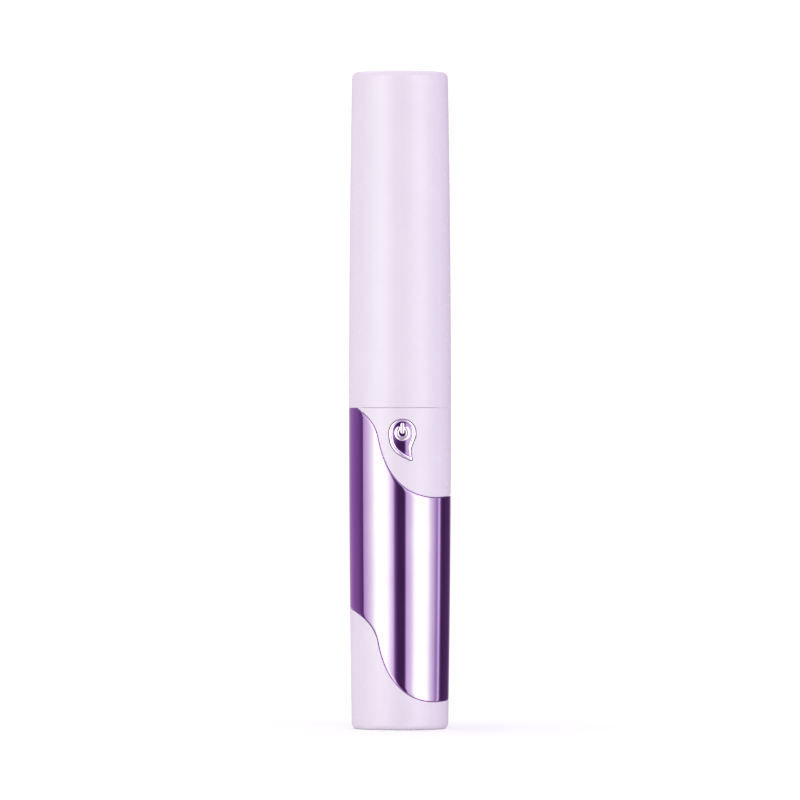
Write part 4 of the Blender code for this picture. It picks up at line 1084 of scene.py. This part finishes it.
# The rim and the symbol's tops: a rougher satin metal, and its colour, lighter than the plated purple, is a
# painted highlight.
satin_rim_painted_highlight = new_finish(
    "satin rim with painted highlight",
    ((0.50, 0.295, 0.61), (0.56, 0.34, 0.66), (0.8,)),
    (0.27, 0.34, (0.8,)),
    (0.0006, (0.05, 3.0)),
    Metallic=1.0,
)


def post_ring(radius, y, ring):
    """A circle round the post, with its points in the directions of the button's outline."""
    places = []
    for point in ring:
        across, up = (point - BUTTON_MIDDLE).normalized() * radius
        places.append(Vector((BUTTON_X + across, y, BUTTON_HEIGHT + up)))
    return places


def button_rings():
    """From the post's tip up to the flange, out over the rim's bulge, and in across the floor."""
    outer = drop_outline()
    inner = drop_outline(0.0, RECESS_ACROSS, RECESS_ALONG)
    flange = drop_outline(FLANGE_GROW)
    rings = [post_ring(0.0, POST_TIP_Y, outer), post_ring(POST_RADIUS - POST_EASE, POST_TIP_Y, outer)]
    rings += [post_ring(POST_RADIUS, POST_TIP_Y - POST_EASE, outer)]
    rings += [post_ring(POST_RADIUS, -FLANGE_BORE + POST_EASE, outer)]
    rings += [on_front(flange, at_flange_bore), on_front(flange, at_flange), on_front(outer, at_flange)]
    for step in range(13):
        angle = math.pi * step / 12
        share = (1 - math.cos(angle)) / 2
        rim = [a.lerp(b, share) for a, b in zip(outer, inner)]
        rings.append(on_front(rim, under(BUTTON_INSET + RIM_BULGE * (1 - math.sin(angle)))))
    floor = drop_outline(-FLOOR_FILLET, RECESS_ACROSS, RECESS_ALONG)
    rings.append(on_front(inner, under(RECESS_DEPTH - FLOOR_FILLET)))
    middle = BUTTON_MIDDLE + Vector((0.1 * MM, -0.3 * MM))
    for share in (1.0, 0.8, 0.6, 0.4, 0.2, 0.0):
        rings.append(on_front([middle.lerp(point, share) for point in floor], under(RECESS_DEPTH)))
    return rings


def stroke_loop(spine, half_width, cap_steps=6):
    """The outline of a stroke with round ends along a spine."""
    square = [Vector((-along.y, along.x)) * half_width for along in headings(spine)]
    left = [p + out for p, out in zip(spine, square)]
    right = [p - out for p, out in zip(spine, square)]

    def cap(point, out):
        ahead = Vector((out.y, -out.x))
        angles = [math.pi * step / cap_steps for step in range(1, cap_steps)]
        return [point + out * math.cos(a) + ahead * math.sin(a) for a in angles]

    return [*left, *cap(spine[-1], square[-1]), *reversed(right), *cap(spine[0], -square[0])]


def raised_stroke(name, spine, half_width):
    """A raised stroke of the symbol: upright sides up to a rounded top, flush with the button."""
    top = BUTTON_INSET + 0.02 * MM
    root = RECESS_DEPTH + SYMBOL_ROOT
    rows = [(half_width * share, root) for share in (0.0, 0.5, 1.0)]
    rows += [(half_width * across, top + SYMBOL_EDGE * (1 - up)) for across, up in quarter_turn(7)]
    rings = [on_front(stroke_loop(spine, width), under(depth)) for width, depth in rows]
    # The stroke's rounded top takes the lighter satin finish: a painted highlight on it.
    return shell_piece(name, rings, plated, closed_loop=False, trim=(satin_rim_painted_highlight, 3, len(rings)))


ring_angles = [math.radians(90 + SYMBOL_GAP + (360 - 2 * SYMBOL_GAP) * step / 36) for step in range(37)]
ring_spine = [BUTTON_MIDDLE + Vector((math.cos(a), math.sin(a))) * SYMBOL_RADIUS for a in ring_angles]
bar_spine = [BUTTON_MIDDLE + Vector((0.0, BAR_ENDS[0] + BAR_HALF + step * 0.28 * MM)) for step in range(6)]
bar_spine[-1].y = BUTTON_HEIGHT + BAR_ENDS[1] - BAR_HALF
# The rim's rounded face takes the lighter satin finish: a painted highlight on the rim.
button = joined(
    shell_piece("power_button_face", button_rings(), plated, closed_loop=False, trim=(satin_rim_painted_highlight, 7, 18)),
    raised_stroke("symbol_ring", ring_spine, RING_HALF),
    raised_stroke("symbol_bar", bar_spine, BAR_HALF),
)
hand_over(button, "power_button", "plated_purple", "power_button")


# ---------------------------------------------------------------- battery cover
# The lavender cup that closes the cell end: it slides up over the chassis until its wave meets the
# sleeve's. One glossy ABS moulding with a flat foot and a rounded heel.
FOOT_ROUND = 1.1 * MM
FLOOR_WALL = 1.4 * MM
FLOOR_EASE = 0.5 * MM
COVER_ROWS = 40


def level_ring(radius, z):
    """A ring at one height, with its places under the lower seam's columns."""
    points = [Vector((radius * math.sin(turn_of(column)), z)) for column in lower_seam.columns]
    return whole_ring(points, straight(radius))


def cover_rings():
    """From the wavy edge inside, down the outside, round the heel, and back up the inner floor."""

    def high_edge(run_in, radius_at):
        return lower_seam.beside(-PANEL_GAP / 2 - run_in, radius_at)[1]

    rings = [whole_ring(high_edge(0.0, at_bore), at_bore), *edge_rings(high_edge, whole_ring)]
    high = high_edge(EDGE_ROUND, under(0.0))
    for step in range(1, COVER_ROWS + 1):
        share = step / COVER_ROWS
        points = []
        for point in high:
            z = point.y + (FOOT_ROUND - point.y) * share
            points.append(Vector((point.x * barrel(z) / barrel(point.y), z)))
        rings.append(whole_ring(points, under(0.0)))
    heel = barrel(FOOT_ROUND) - FOOT_ROUND
    for across, up in quarter_turn(8)[1:]:
        rings.append(level_ring(heel + FOOT_ROUND * across, FOOT_ROUND * (1 - up)))
    rings += [level_ring(heel * share, 0.0) for share in (0.97, 0.6, 0.0)]
    rings += [level_ring((SHELL_BORE - FLOOR_EASE) * share, FLOOR_WALL) for share in (0.0, 0.6, 1.0)]
    rings.append(level_ring(SHELL_BORE - 0.3 * FLOOR_EASE, FLOOR_WALL + 0.3 * FLOOR_EASE))
    rings.append(level_ring(SHELL_BORE, FLOOR_WALL + FLOOR_EASE))
    return rings


cover = shell_piece("battery_cover_cup", cover_rings(), lavender)
hand_over(cover, "battery_cover", "lavender_plastic", "battery_cover")


# ---------------------------------------------------------------- neck collar
# The white collar that the cap pushes onto: a turned-looking moulding with a thin retention bead and
# a soft chamfer that leads the cap on. It holds the wand's flange against the chassis.
COLLAR_BEAD = 0.08 * MM
COLLAR_CHAMFER = 0.4 * MM
COLLAR_ROOF = 1.2 * MM
COLLAR_WALL = 0.85 * MM
GROOVE_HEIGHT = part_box("neck_collar")[0].z + 2.6 * MM
GROOVE_HALF = 0.5 * MM

ROOF_BORE = 6.0 * MM

low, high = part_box("neck_collar")
side = high.x - COLLAR_BEAD
bore = side - COLLAR_WALL
collar_corners = [
    (ROOF_BORE, high.z, 0.1 * MM),
    (ROOF_BORE, high.z - COLLAR_ROOF),
    (bore, high.z - COLLAR_ROOF, 0.2 * MM),
    (bore, low.z, 0.1 * MM),
    (side, low.z, 0.1 * MM),
    (side, GROOVE_HEIGHT - GROOVE_HALF, 0.1 * MM),
    (high.x, GROOVE_HEIGHT, 0.3 * MM),
    (side, GROOVE_HEIGHT + GROOVE_HALF, 0.1 * MM),
    (side, high.z - COLLAR_CHAMFER, 0.2 * MM),
    (side - COLLAR_CHAMFER, high.z, 0.2 * MM),
]
collar = turned_piece("neck_collar_ring", collar_corners, white_abs, 192, closed=True)


def bored(piece, start, end, radius, finish):
    """Bores a round hole through a piece between two places."""
    return combined(piece, "DIFFERENCE", wire("drill", [start, end], radius, finish, sides=32))


screw_low, screw_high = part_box("head_screw")
screw_height = (screw_low.z + screw_high.z) / 2
screw_way = SCREW_HEAD_RADIUS + 0.1 * MM
bored(collar, (0, 5.9 * MM, screw_height), (0, 12 * MM, screw_height), screw_way, white_abs)
hand_over(collar, "handle", "white_plastic", "neck_collar")


# ---------------------------------------------------------------- head
# The wand: one white PBT moulding with a flange in the collar, a shoulder that eases into a slim
# stem, a domed tip, and a long trough in the front for the comb.
HEAD_RADIUS = 4.2 * MM
HEAD_NECK = 5.9 * MM
HEAD_TIP = 2.7 * MM
FLANGE_HEIGHT = 2.5 * MM
SHOULDER_RUN = 12.0 * MM
SHOULDER_START = 1.5 * MM
HEAD_BORE = 1.8 * MM
COMB_FIT = 0.1 * MM

head_low, head_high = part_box("head_body")
comb_low, comb_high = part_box("comb_insert")
collar_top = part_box("neck_collar")[1].z
flange_top = head_low.z + FLANGE_HEIGHT
head_corners = [(0.0, head_low.z), (head_high.x, head_low.z, 0.1 * MM)]
head_corners += [(head_high.x, flange_top, 0.1 * MM), (HEAD_NECK, flange_top, 0.3 * MM)]
head_points = eased(head_corners)
for step in range(41):
    share = step / 40
    eased_in = (1 + math.cos(math.pi * share)) / 2
    radius = HEAD_RADIUS + (HEAD_NECK - HEAD_RADIUS) * eased_in
    head_points.append(Vector((radius, collar_top + SHOULDER_START + SHOULDER_RUN * share)))
for across, up in quarter_turn(16):
    head_points.append(Vector((HEAD_RADIUS * across, head_high.z - HEAD_TIP * (1 - up))))
head_points[-1].x = 0.0
head = turned_piece("head_wand", head_points, white_abs, 144)
trough_low = (comb_low.x - COMB_FIT, -10 * MM, comb_low.z - COMB_FIT)
trough_high = (comb_high.x + COMB_FIT, COMB_FIT, comb_high.z + COMB_FIT)
combined(head, "DIFFERENCE", block("trough", trough_low, trough_high, white_abs, 0.3 * MM))
bored(head, (0, 0, head_low.z - MM), (0, 0, comb_low.z + 0.3 * MM), HEAD_BORE, white_abs)
hand_over(head, "handle", "white_plastic", "head_body")


# ---------------------------------------------------------------- comb
# The comb insert: a trough in heat-proof nylon with a row of tapered teeth down each side. The teeth
# in the middle are shorter, so that the row follows the curve of an eyelid.
COMB_WALL = 1.0 * MM
COMB_FLOOR = 0.6 * MM
COMB_HEIGHT = 4.0 * MM
TOOTH_COUNT = 24
TOOTH_LENGTH = 2.5 * MM
TOOTH_ACROSS = 0.42 * MM
TOOTH_ALONG = 0.31 * MM
COMB_DIP = 0.8 * MM


def teeth_tree():
    """Stands copies of the starting tooth along a line, shorter towards its middle."""
    sizes = {"Pitch": "Float", "Length": "Float", "Dip": "Float"}
    tree, given = new_tree("Comb teeth", Count="Int", First="Vector", **sizes)
    offset = add_node(tree, "ShaderNodeCombineXYZ", {"Z": given["Pitch"]}).outputs[0]
    line = {"Count": given["Count"], "Start Location": given["First"], "Offset": offset}
    points = add_node(tree, "GeometryNodeMeshLine", line, mode="OFFSET").outputs[0]
    index = Number(add_node(tree, "GeometryNodeInputIndex").outputs[0])
    along = index * 2.0 / (Number(given["Count"]) - 1) - 1.0
    length = Number(given["Length"]) - (1.0 - along * along) * given["Dip"]
    scale = add_node(tree, "ShaderNodeCombineXYZ", {"X": 1.0, "Y": length, "Z": 1.0}).outputs[0]
    stood = {"Points": points, "Instance": given["Start"], "Scale": scale}
    return finished(tree, given, add_node(tree, "GeometryNodeInstanceOnPoints", stood).outputs[0])


# A tooth's profile: (share of its length out, share of its width), from its root to its round tip
TOOTH_PROFILE = ((-0.12, 1.0), (0.0, 1.0), (0.35, 0.86), (0.7, 0.68), (0.9, 0.52), (0.97, 0.36), (1.0, 0.0))
TOOTH_SIDES = 12


def tooth_mesh():
    """One tooth, a metre long towards -Y before its length is set: an oval that tapers."""
    sheet = bmesh.new()
    rings = []
    for out, width in TOOTH_PROFILE:
        angles = [math.tau * side / TOOTH_SIDES for side in range(TOOTH_SIDES)]
        across, along = TOOTH_ACROSS * width, TOOTH_ALONG * width
        places = [(across * math.cos(angle), -out, along * math.sin(angle)) for angle in angles]
        rings.append([sheet.verts.new(place) for place in places])
    for low_ring, high_ring in zip(rings, rings[1:]):
        for k in range(TOOTH_SIDES):
            after = (k + 1) % TOOTH_SIDES
            sheet.faces.new((low_ring[k], low_ring[after], high_ring[after], high_ring[k]))
    sheet.faces.new(rings[0])
    bmesh.ops.remove_doubles(sheet, verts=sheet.verts, dist=0.001 * MM)
    bmesh.ops.recalc_face_normals(sheet, faces=sheet.faces)
    return mesh_from(sheet, "tooth")


comb_nylon = moulded_plastic(
    "comb nylon", (0.55, 0.36, 0.62), (0.60, 0.40, 0.67), (0.32, 0.42), 0.003, IOR=1.53
)
comb_teeth = teeth_tree()
half = comb_high.x
floor_low, floor_high = (-half, -COMB_FLOOR, comb_low.z), (half, 0.0, comb_high.z)
comb_parts = [block("comb_floor", floor_low, floor_high, comb_nylon, 0.08 * MM)]
for x in (-half, half - COMB_WALL):
    wall_high = (x + COMB_WALL, 0.0, comb_high.z)
    comb_parts.append(block("comb_wall", (x, -COMB_HEIGHT, comb_low.z), wall_high, comb_nylon, 0.12 * MM))
for z in (comb_low.z, comb_high.z - COMB_WALL):
    end_low = (0.2 * MM - half, 0.05 * MM - COMB_HEIGHT, z)
    end_high = (half - 0.2 * MM, -0.1 * MM, z + COMB_WALL)
    comb_parts.append(block("comb_end", end_low, end_high, comb_nylon, 0.1 * MM))
comb = combined(comb_parts[0], "UNION", *comb_parts[1:])
pitch = (comb_high.z - comb_low.z) / TOOTH_COUNT
for x in (COMB_WALL / 2 - half, half - COMB_WALL / 2):
    first = (x, 0.06 * MM - COMB_HEIGHT, comb_low.z + pitch / 2)
    sizes = {"Count": TOOTH_COUNT, "Pitch": pitch, "Length": TOOTH_LENGTH, "Dip": COMB_DIP}
    comb = joined(comb, grown("comb_row", comb_teeth, tooth_mesh(), comb_nylon, First=first, **sizes))
comb.name = "comb_trough_and_teeth"
hand_over(comb, "handle", "comb_plastic", "comb_insert")


# ---------------------------------------------------------------- heater
# The element: resistance wire wound on a ceramic core along the trough, with a mica strip behind it,
# its return wire behind the mica, and a glass thermistor bead in the wand's bore.
CORE_RADIUS = 0.75 * MM
COIL_WIRE = 0.14 * MM
COIL_RADIUS = 0.99 * MM
COIL_TURNS = 22
COIL_INSET = 2.3 * MM
LEAD_RADIUS = 0.35 * MM
LEAD_X = 0.75 * MM

element_wire = new_finish(
    "heater wire",
    ((0.42, 0.36, 0.30), (0.50, 0.40, 0.30), (1.5,)),
    (0.28, 0.42, (1.5,)),
    (0.001, (0.05,)),
    Metallic=1.0,
)
mica = one_grain(
    "mica sheet",
    (0.36, 0.27, 0.16),
    (0.52, 0.42, 0.28),
    (0.25, 0.5),
    (0.7, 5.0),
    0.01,
    IOR=1.58,
    Coat_Weight=0.5,
    Coat_Roughness=0.15,
)
glass = one_grain(
    "thermistor glass",
    (0.50, 0.22, 0.06),
    (0.62, 0.30, 0.10),
    (0.08, 0.14),
    (0.6,),
    0.002,
    IOR=1.5,
    Coat_Weight=1.0,
    Coat_Roughness=0.04,
)
core_low, core_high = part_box("heater_core")
core_y = (core_low.y + core_high.y) / 2
core_corners = [(0.0, core_low.z), (CORE_RADIUS, core_low.z, 0.1 * MM)]
core_corners += [(CORE_RADIUS, core_high.z, 0.1 * MM), (0.0, core_high.z)]
core = turned_piece("heater_core_rod", core_corners, ceramic, 40)
moved(core, lambda co: co + Vector((0.0, core_y, 0.0)))
hand_over(core, "handle", "ceramic", "heater_core")

wound_low = comb_low.z + COIL_INSET
wound_high = comb_high.z - COIL_INSET
mica_low, mica_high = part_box("mica_strip")
return_y = (mica_high.y - COMB_FLOOR) / 2
lead_y = -COMB_FLOOR - LEAD_RADIUS - 0.1 * MM
tail_z = comb_low.z + 1.4 * MM
coil_points = [(LEAD_X, lead_y, tail_z), (LEAD_X, lead_y - 0.5 * MM, tail_z + 0.2 * MM)]
coil_points += [(COIL_RADIUS, core_y + 0.5 * MM, wound_low - 0.35 * MM)]
wound = (wound_low, wound_high)
coil_points += winding((COIL_RADIUS, COIL_RADIUS), wound, COIL_TURNS, steps=20, y=core_y)
coil_points += [(0.6 * MM, core_y + 0.95 * MM, wound_high + 0.3 * MM)]
coil_points += [(-0.2 * MM, mica_low.y - 0.2 * MM, wound_high + 0.45 * MM)]
coil_points += [(-LEAD_X, return_y, wound_high + 0.5 * MM), (-LEAD_X, return_y, tail_z)]
coil = wire("heater_winding", coil_points, COIL_WIRE, element_wire, sides=8)
hand_over(coil, "handle", "heater_wire", "heater_coil")
strip = block("mica_backing", mica_low, mica_high, mica, 0.04 * MM)
hand_over(strip, "handle", "mica", "mica_strip")

bead_low, bead_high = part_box("thermistor")
middle = (bead_low + bead_high) / 2
bead_points = []
for step in range(13):
    angle = math.pi * step / 12
    height = middle.z - (bead_high.z - bead_low.z) / 2 * math.cos(angle)
    bead_points.append((bead_high.x * math.sin(angle) ** 0.6 if 0 < step < 12 else 0.0, height))
bead = turned_piece("thermistor_bead", bead_points, glass, 32)
moved(bead, lambda co: co + Vector((middle.x, middle.y, 0.0)))
hand_over(bead, "handle", "glass_bead", "thermistor")


# ---------------------------------------------------------------- leads
# Heater leads in red and black sleeving and two thin white thermistor leads, from the board's back up
# through the wand. They are soft and only loosely dressed.
for node, first, second in (
    ("heater_lead_red", (0.50, 0.015, 0.012), (0.56, 0.02, 0.015)),
    ("heater_lead_black", (0.012, 0.012, 0.012), (0.02, 0.02, 0.02)),
):
    refinish(moulded_plastic(f"{node} sleeving", first, second, (0.4, 0.5), 0.004), node)
refinish(white_abs, "thermistor_lead_left", "thermistor_lead_right")


# ---------------------------------------------------------------- cap
# The long lavender cap: one glossy moulding, closed and slightly crowned at the top, with a groove
# inside its mouth that snaps over the collar's bead.
TIP_ROUND = 1.3 * MM
TIP_CROWN = 0.25 * MM
CAP_ROOF = 1.6 * MM
MOUTH_WALL = 1.4 * MM
TIP_WALL = 1.3 * MM
GROOVE_DEPTH = 0.15 * MM
CAP_ROWS = 44


def cap_profile():
    """From the middle of the hollow's roof, down the bore, round the mouth and up the outside."""
    roof = TIP_HEIGHT - CAP_ROOF
    mouth_bore = barrel(CAP_MOUTH) - MOUTH_WALL
    roof_bore = barrel(roof) - TIP_WALL

    def bore(z):
        return mouth_bore + (roof_bore - mouth_bore) * (z - CAP_MOUTH) / (roof - CAP_MOUTH)

    inside = [(0.0, roof), (roof_bore * 0.6, roof), (roof_bore, roof, 1.0 * MM)]
    inside += [(bore(z), z) for z in (110 * MM, 90 * MM, 75 * MM)]
    for z, depth, ease in ((GROOVE_HALF, 0.0, 0.1), (0.0, GROOVE_DEPTH, 0.2), (-GROOVE_HALF, 0.0, 0.1)):
        inside.append((bore(GROOVE_HEIGHT + z) + depth, GROOVE_HEIGHT + z, ease * MM))
    inside += [(mouth_bore, CAP_MOUTH, 0.35 * MM), (barrel(CAP_MOUTH), CAP_MOUTH, EDGE_ROUND)]
    profile = eased([*inside, (barrel(CAP_MOUTH + MM), CAP_MOUTH + MM)])
    rim = TIP_HEIGHT - TIP_CROWN - TIP_ROUND
    heights = [CAP_MOUTH + (rim - CAP_MOUTH) * step / CAP_ROWS for step in range(1, CAP_ROWS + 1)]
    profile += [(barrel(z), z) for z in heights]
    flat = barrel(rim) - TIP_ROUND
    profile += [(flat + TIP_ROUND * across, rim + TIP_ROUND * up) for across, up in quarter_turn(12)[1:]]
    for step in range(1, 11):
        share = 1 - step / 10
        profile.append((flat * share, TIP_HEIGHT - TIP_CROWN * share**2))
    return profile


cap = turned_piece("cap_shell", cap_profile(), lavender, 288)
hand_over(cap, "cap", "lavender_plastic", "cap")


# ---------------------------------------------------------------- studio
# A white sweep, an even white sky, and a tent of cards round the pen that only shiny faces mirror:
# two tall light boxes ahead, grey flags between and beside them.
CAMERA_DISTANCE = 1.5
CAMERA_LENS = 344.3
VIEW_HEIGHT = 64.37 * MM
TENT_RADIUS = 3.0
# Bearings in degrees (0 is ahead of the button, + is to its right) and the light of the tent there
CARDS = (
    (-180, (0.75, 0.60, 0.75)),
    (-145, (0.60, 0.44, 0.60)),
    (-112, (0.44, 0.34, 0.45)),
    (-100, (0.28, 0.22, 0.28)),
    (-94, (0.20, 0.16, 0.20)),
    (-91, (1.25, 1.6, 1.05)),
    (-80, (1.6, 2.6, 1.25)),
    (-71, (2.0, 3.9, 1.5)),
    (-63, (2.35, 5.4, 1.6)),
    (-56, (6.0, 7.0, 6.0)),
    (-32, (6.5, 7.0, 6.5)),
    (-25, (2.4, 5.4, 1.65)),
    (-17, (1.9, 3.1, 1.5)),
    (-11, (0.42, 0.33, 0.40)),
    (-5, (0.12, 0.10, 0.13)),
    (5, (0.12, 0.10, 0.13)),
    (11, (0.15, 0.10, 0.16)),
    (15, (1.55, 2.35, 1.3)),
    (24, (1.82, 3.3, 1.45)),
    (31, (2.3, 5.4, 1.6)),
    (37, (6.5, 7.0, 6.5)),
    (62, (6.5, 7.0, 6.5)),
    (69, (2.35, 5.5, 1.6)),
    (77, (1.85, 3.35, 1.45)),
    (94, (0.74, 0.86, 0.70)),
    (102, (1.9, 2.9, 1.6)),
    (106, (0.40, 0.36, 0.38)),
    (112, (0.12, 0.09, 0.11)),
    (122, (0.13, 0.09, 0.14)),
    (150, (0.16, 0.10, 0.18)),
    (180, (0.75, 0.60, 0.75)),
)
BRIGHTEST = 8.0
ABOVE_LIGHT = (1.3, 1.5, 1.3)
SKY_LIGHT = 1.08
# A violet flag low in the sky to the right: its bearing, how far it spreads, and its share of light
FLAG_BEARING = 92.0
FLAG_SPREAD = math.radians(42.0)
FLAG_LIGHT = (0.55, 0.22, 0.72)


def tent_light():
    """Light that changes with the bearing round the pen, and to one even light high above and below."""
    light, tree = blank("tent light")
    place = add_node(tree, "ShaderNodeTexCoord").outputs["Object"]
    unit = add_node(tree, "ShaderNodeVectorMath", {0: place}, operation="NORMALIZE").outputs[0]
    x, y, z = add_node(tree, "ShaderNodeSeparateXYZ", {0: unit}).outputs
    bearing = worked_out("ARCTAN2", x, Number(y) * -1.0)
    turn = {"Value": bearing, "From Min": -math.pi, "From Max": math.pi}
    share = add_node(tree, "ShaderNodeMapRange", turn).outputs["Result"]
    ramp = add_node(tree, "ShaderNodeValToRGB", {"Fac": share})
    stops = ramp.color_ramp.elements
    for k, (degrees, card) in enumerate((CARDS[0], CARDS[-1], *CARDS[1:-1])):
        position = (degrees + 180) / 360
        stop = stops[k] if k < 2 else stops.new(position)
        stop.position = position
        stop.color = (*(value / BRIGHTEST for value in card), 1.0)
    steep = {"Value": worked_out("ABSOLUTE", Number(z)), "From Min": 0.35, "From Max": 0.75}
    height = add_node(tree, "ShaderNodeMapRange", steep, interpolation_type="SMOOTHSTEP").outputs["Result"]
    above = (*(value / BRIGHTEST for value in ABOVE_LIGHT), 1.0)
    tones = {0: height, 6: ramp.outputs["Color"], 7: above}
    colour = add_node(tree, "ShaderNodeMix", tones, data_type="RGBA").outputs[2]
    glow = add_node(tree, "ShaderNodeEmission", {"Color": colour, "Strength": BRIGHTEST})
    add_node(tree, "ShaderNodeOutputMaterial", {"Surface": glow.outputs["Emission"]})
    return light


paper_tones = ((0.985, 0.99, 0.98), (0.995, 1.0, 0.99), (3,))
paper = new_finish("sweep paper", paper_tones, None, Roughness=0.9, Specular_IOR_Level=0.0)
floor_shape = {"x_segments": 1, "y_segments": 1, "size": TENT_RADIUS}
tent_shape = {"u_segments": 96, "v_segments": 48, "radius": TENT_RADIUS}
for name, make, shape, finish in (
    ("sweep", bmesh.ops.create_grid, floor_shape, paper),
    ("tent", bmesh.ops.create_uvsphere, tent_shape, tent_light()),
):
    sheet = bmesh.new()
    make(sheet, **shape)
    new_piece(name, mesh_from(sheet, name), finish)
bpy.data.objects["sweep"].visible_glossy = False
for ray in ("camera", "diffuse", "shadow", "transmission", "volume_scatter"):
    setattr(bpy.data.objects["tent"], f"visible_{ray}", False)

sky = bpy.data.worlds.new("white sky")
bpy.context.scene.world = sky
sky.use_nodes = True
tree = sky.node_tree
flag = math.radians(FLAG_BEARING)
place = add_node(tree, "ShaderNodeTexCoord").outputs["Generated"]
towards = {0: place, 1: (math.sin(flag), -math.cos(flag), 0.0)}
nearness = add_node(tree, "ShaderNodeVectorMath", towards, operation="DOT_PRODUCT").outputs["Value"]
inputs = {"Value": nearness, "From Min": math.cos(FLAG_SPREAD), "From Max": math.cos(FLAG_SPREAD / 2)}
shade = add_node(tree, "ShaderNodeMapRange", inputs, interpolation_type="SMOOTHSTEP").outputs["Result"]
tree.links.new(mixed(tree, shade, (1.0, 1.0, 1.0), FLAG_LIGHT), tree.nodes["Background"].inputs["Color"])
tree.nodes["Background"].inputs["Strength"].default_value = SKY_LIGHT
sky.cycles_visibility.glossy = False
bpy.context.scene.view_settings.view_transform = "Standard"

camera = bpy.data.objects.new("camera", bpy.data.cameras.new("camera"))
camera.data.lens = CAMERA_LENS
camera.data.clip_end = 20.0
camera.location = (0.0, -CAMERA_DISTANCE, VIEW_HEIGHT)
camera.rotation_euler = (math.pi / 2, 0.0, 0.0)
bpy.context.scene.collection.objects.link(camera)
bpy.context.scene.camera = camera
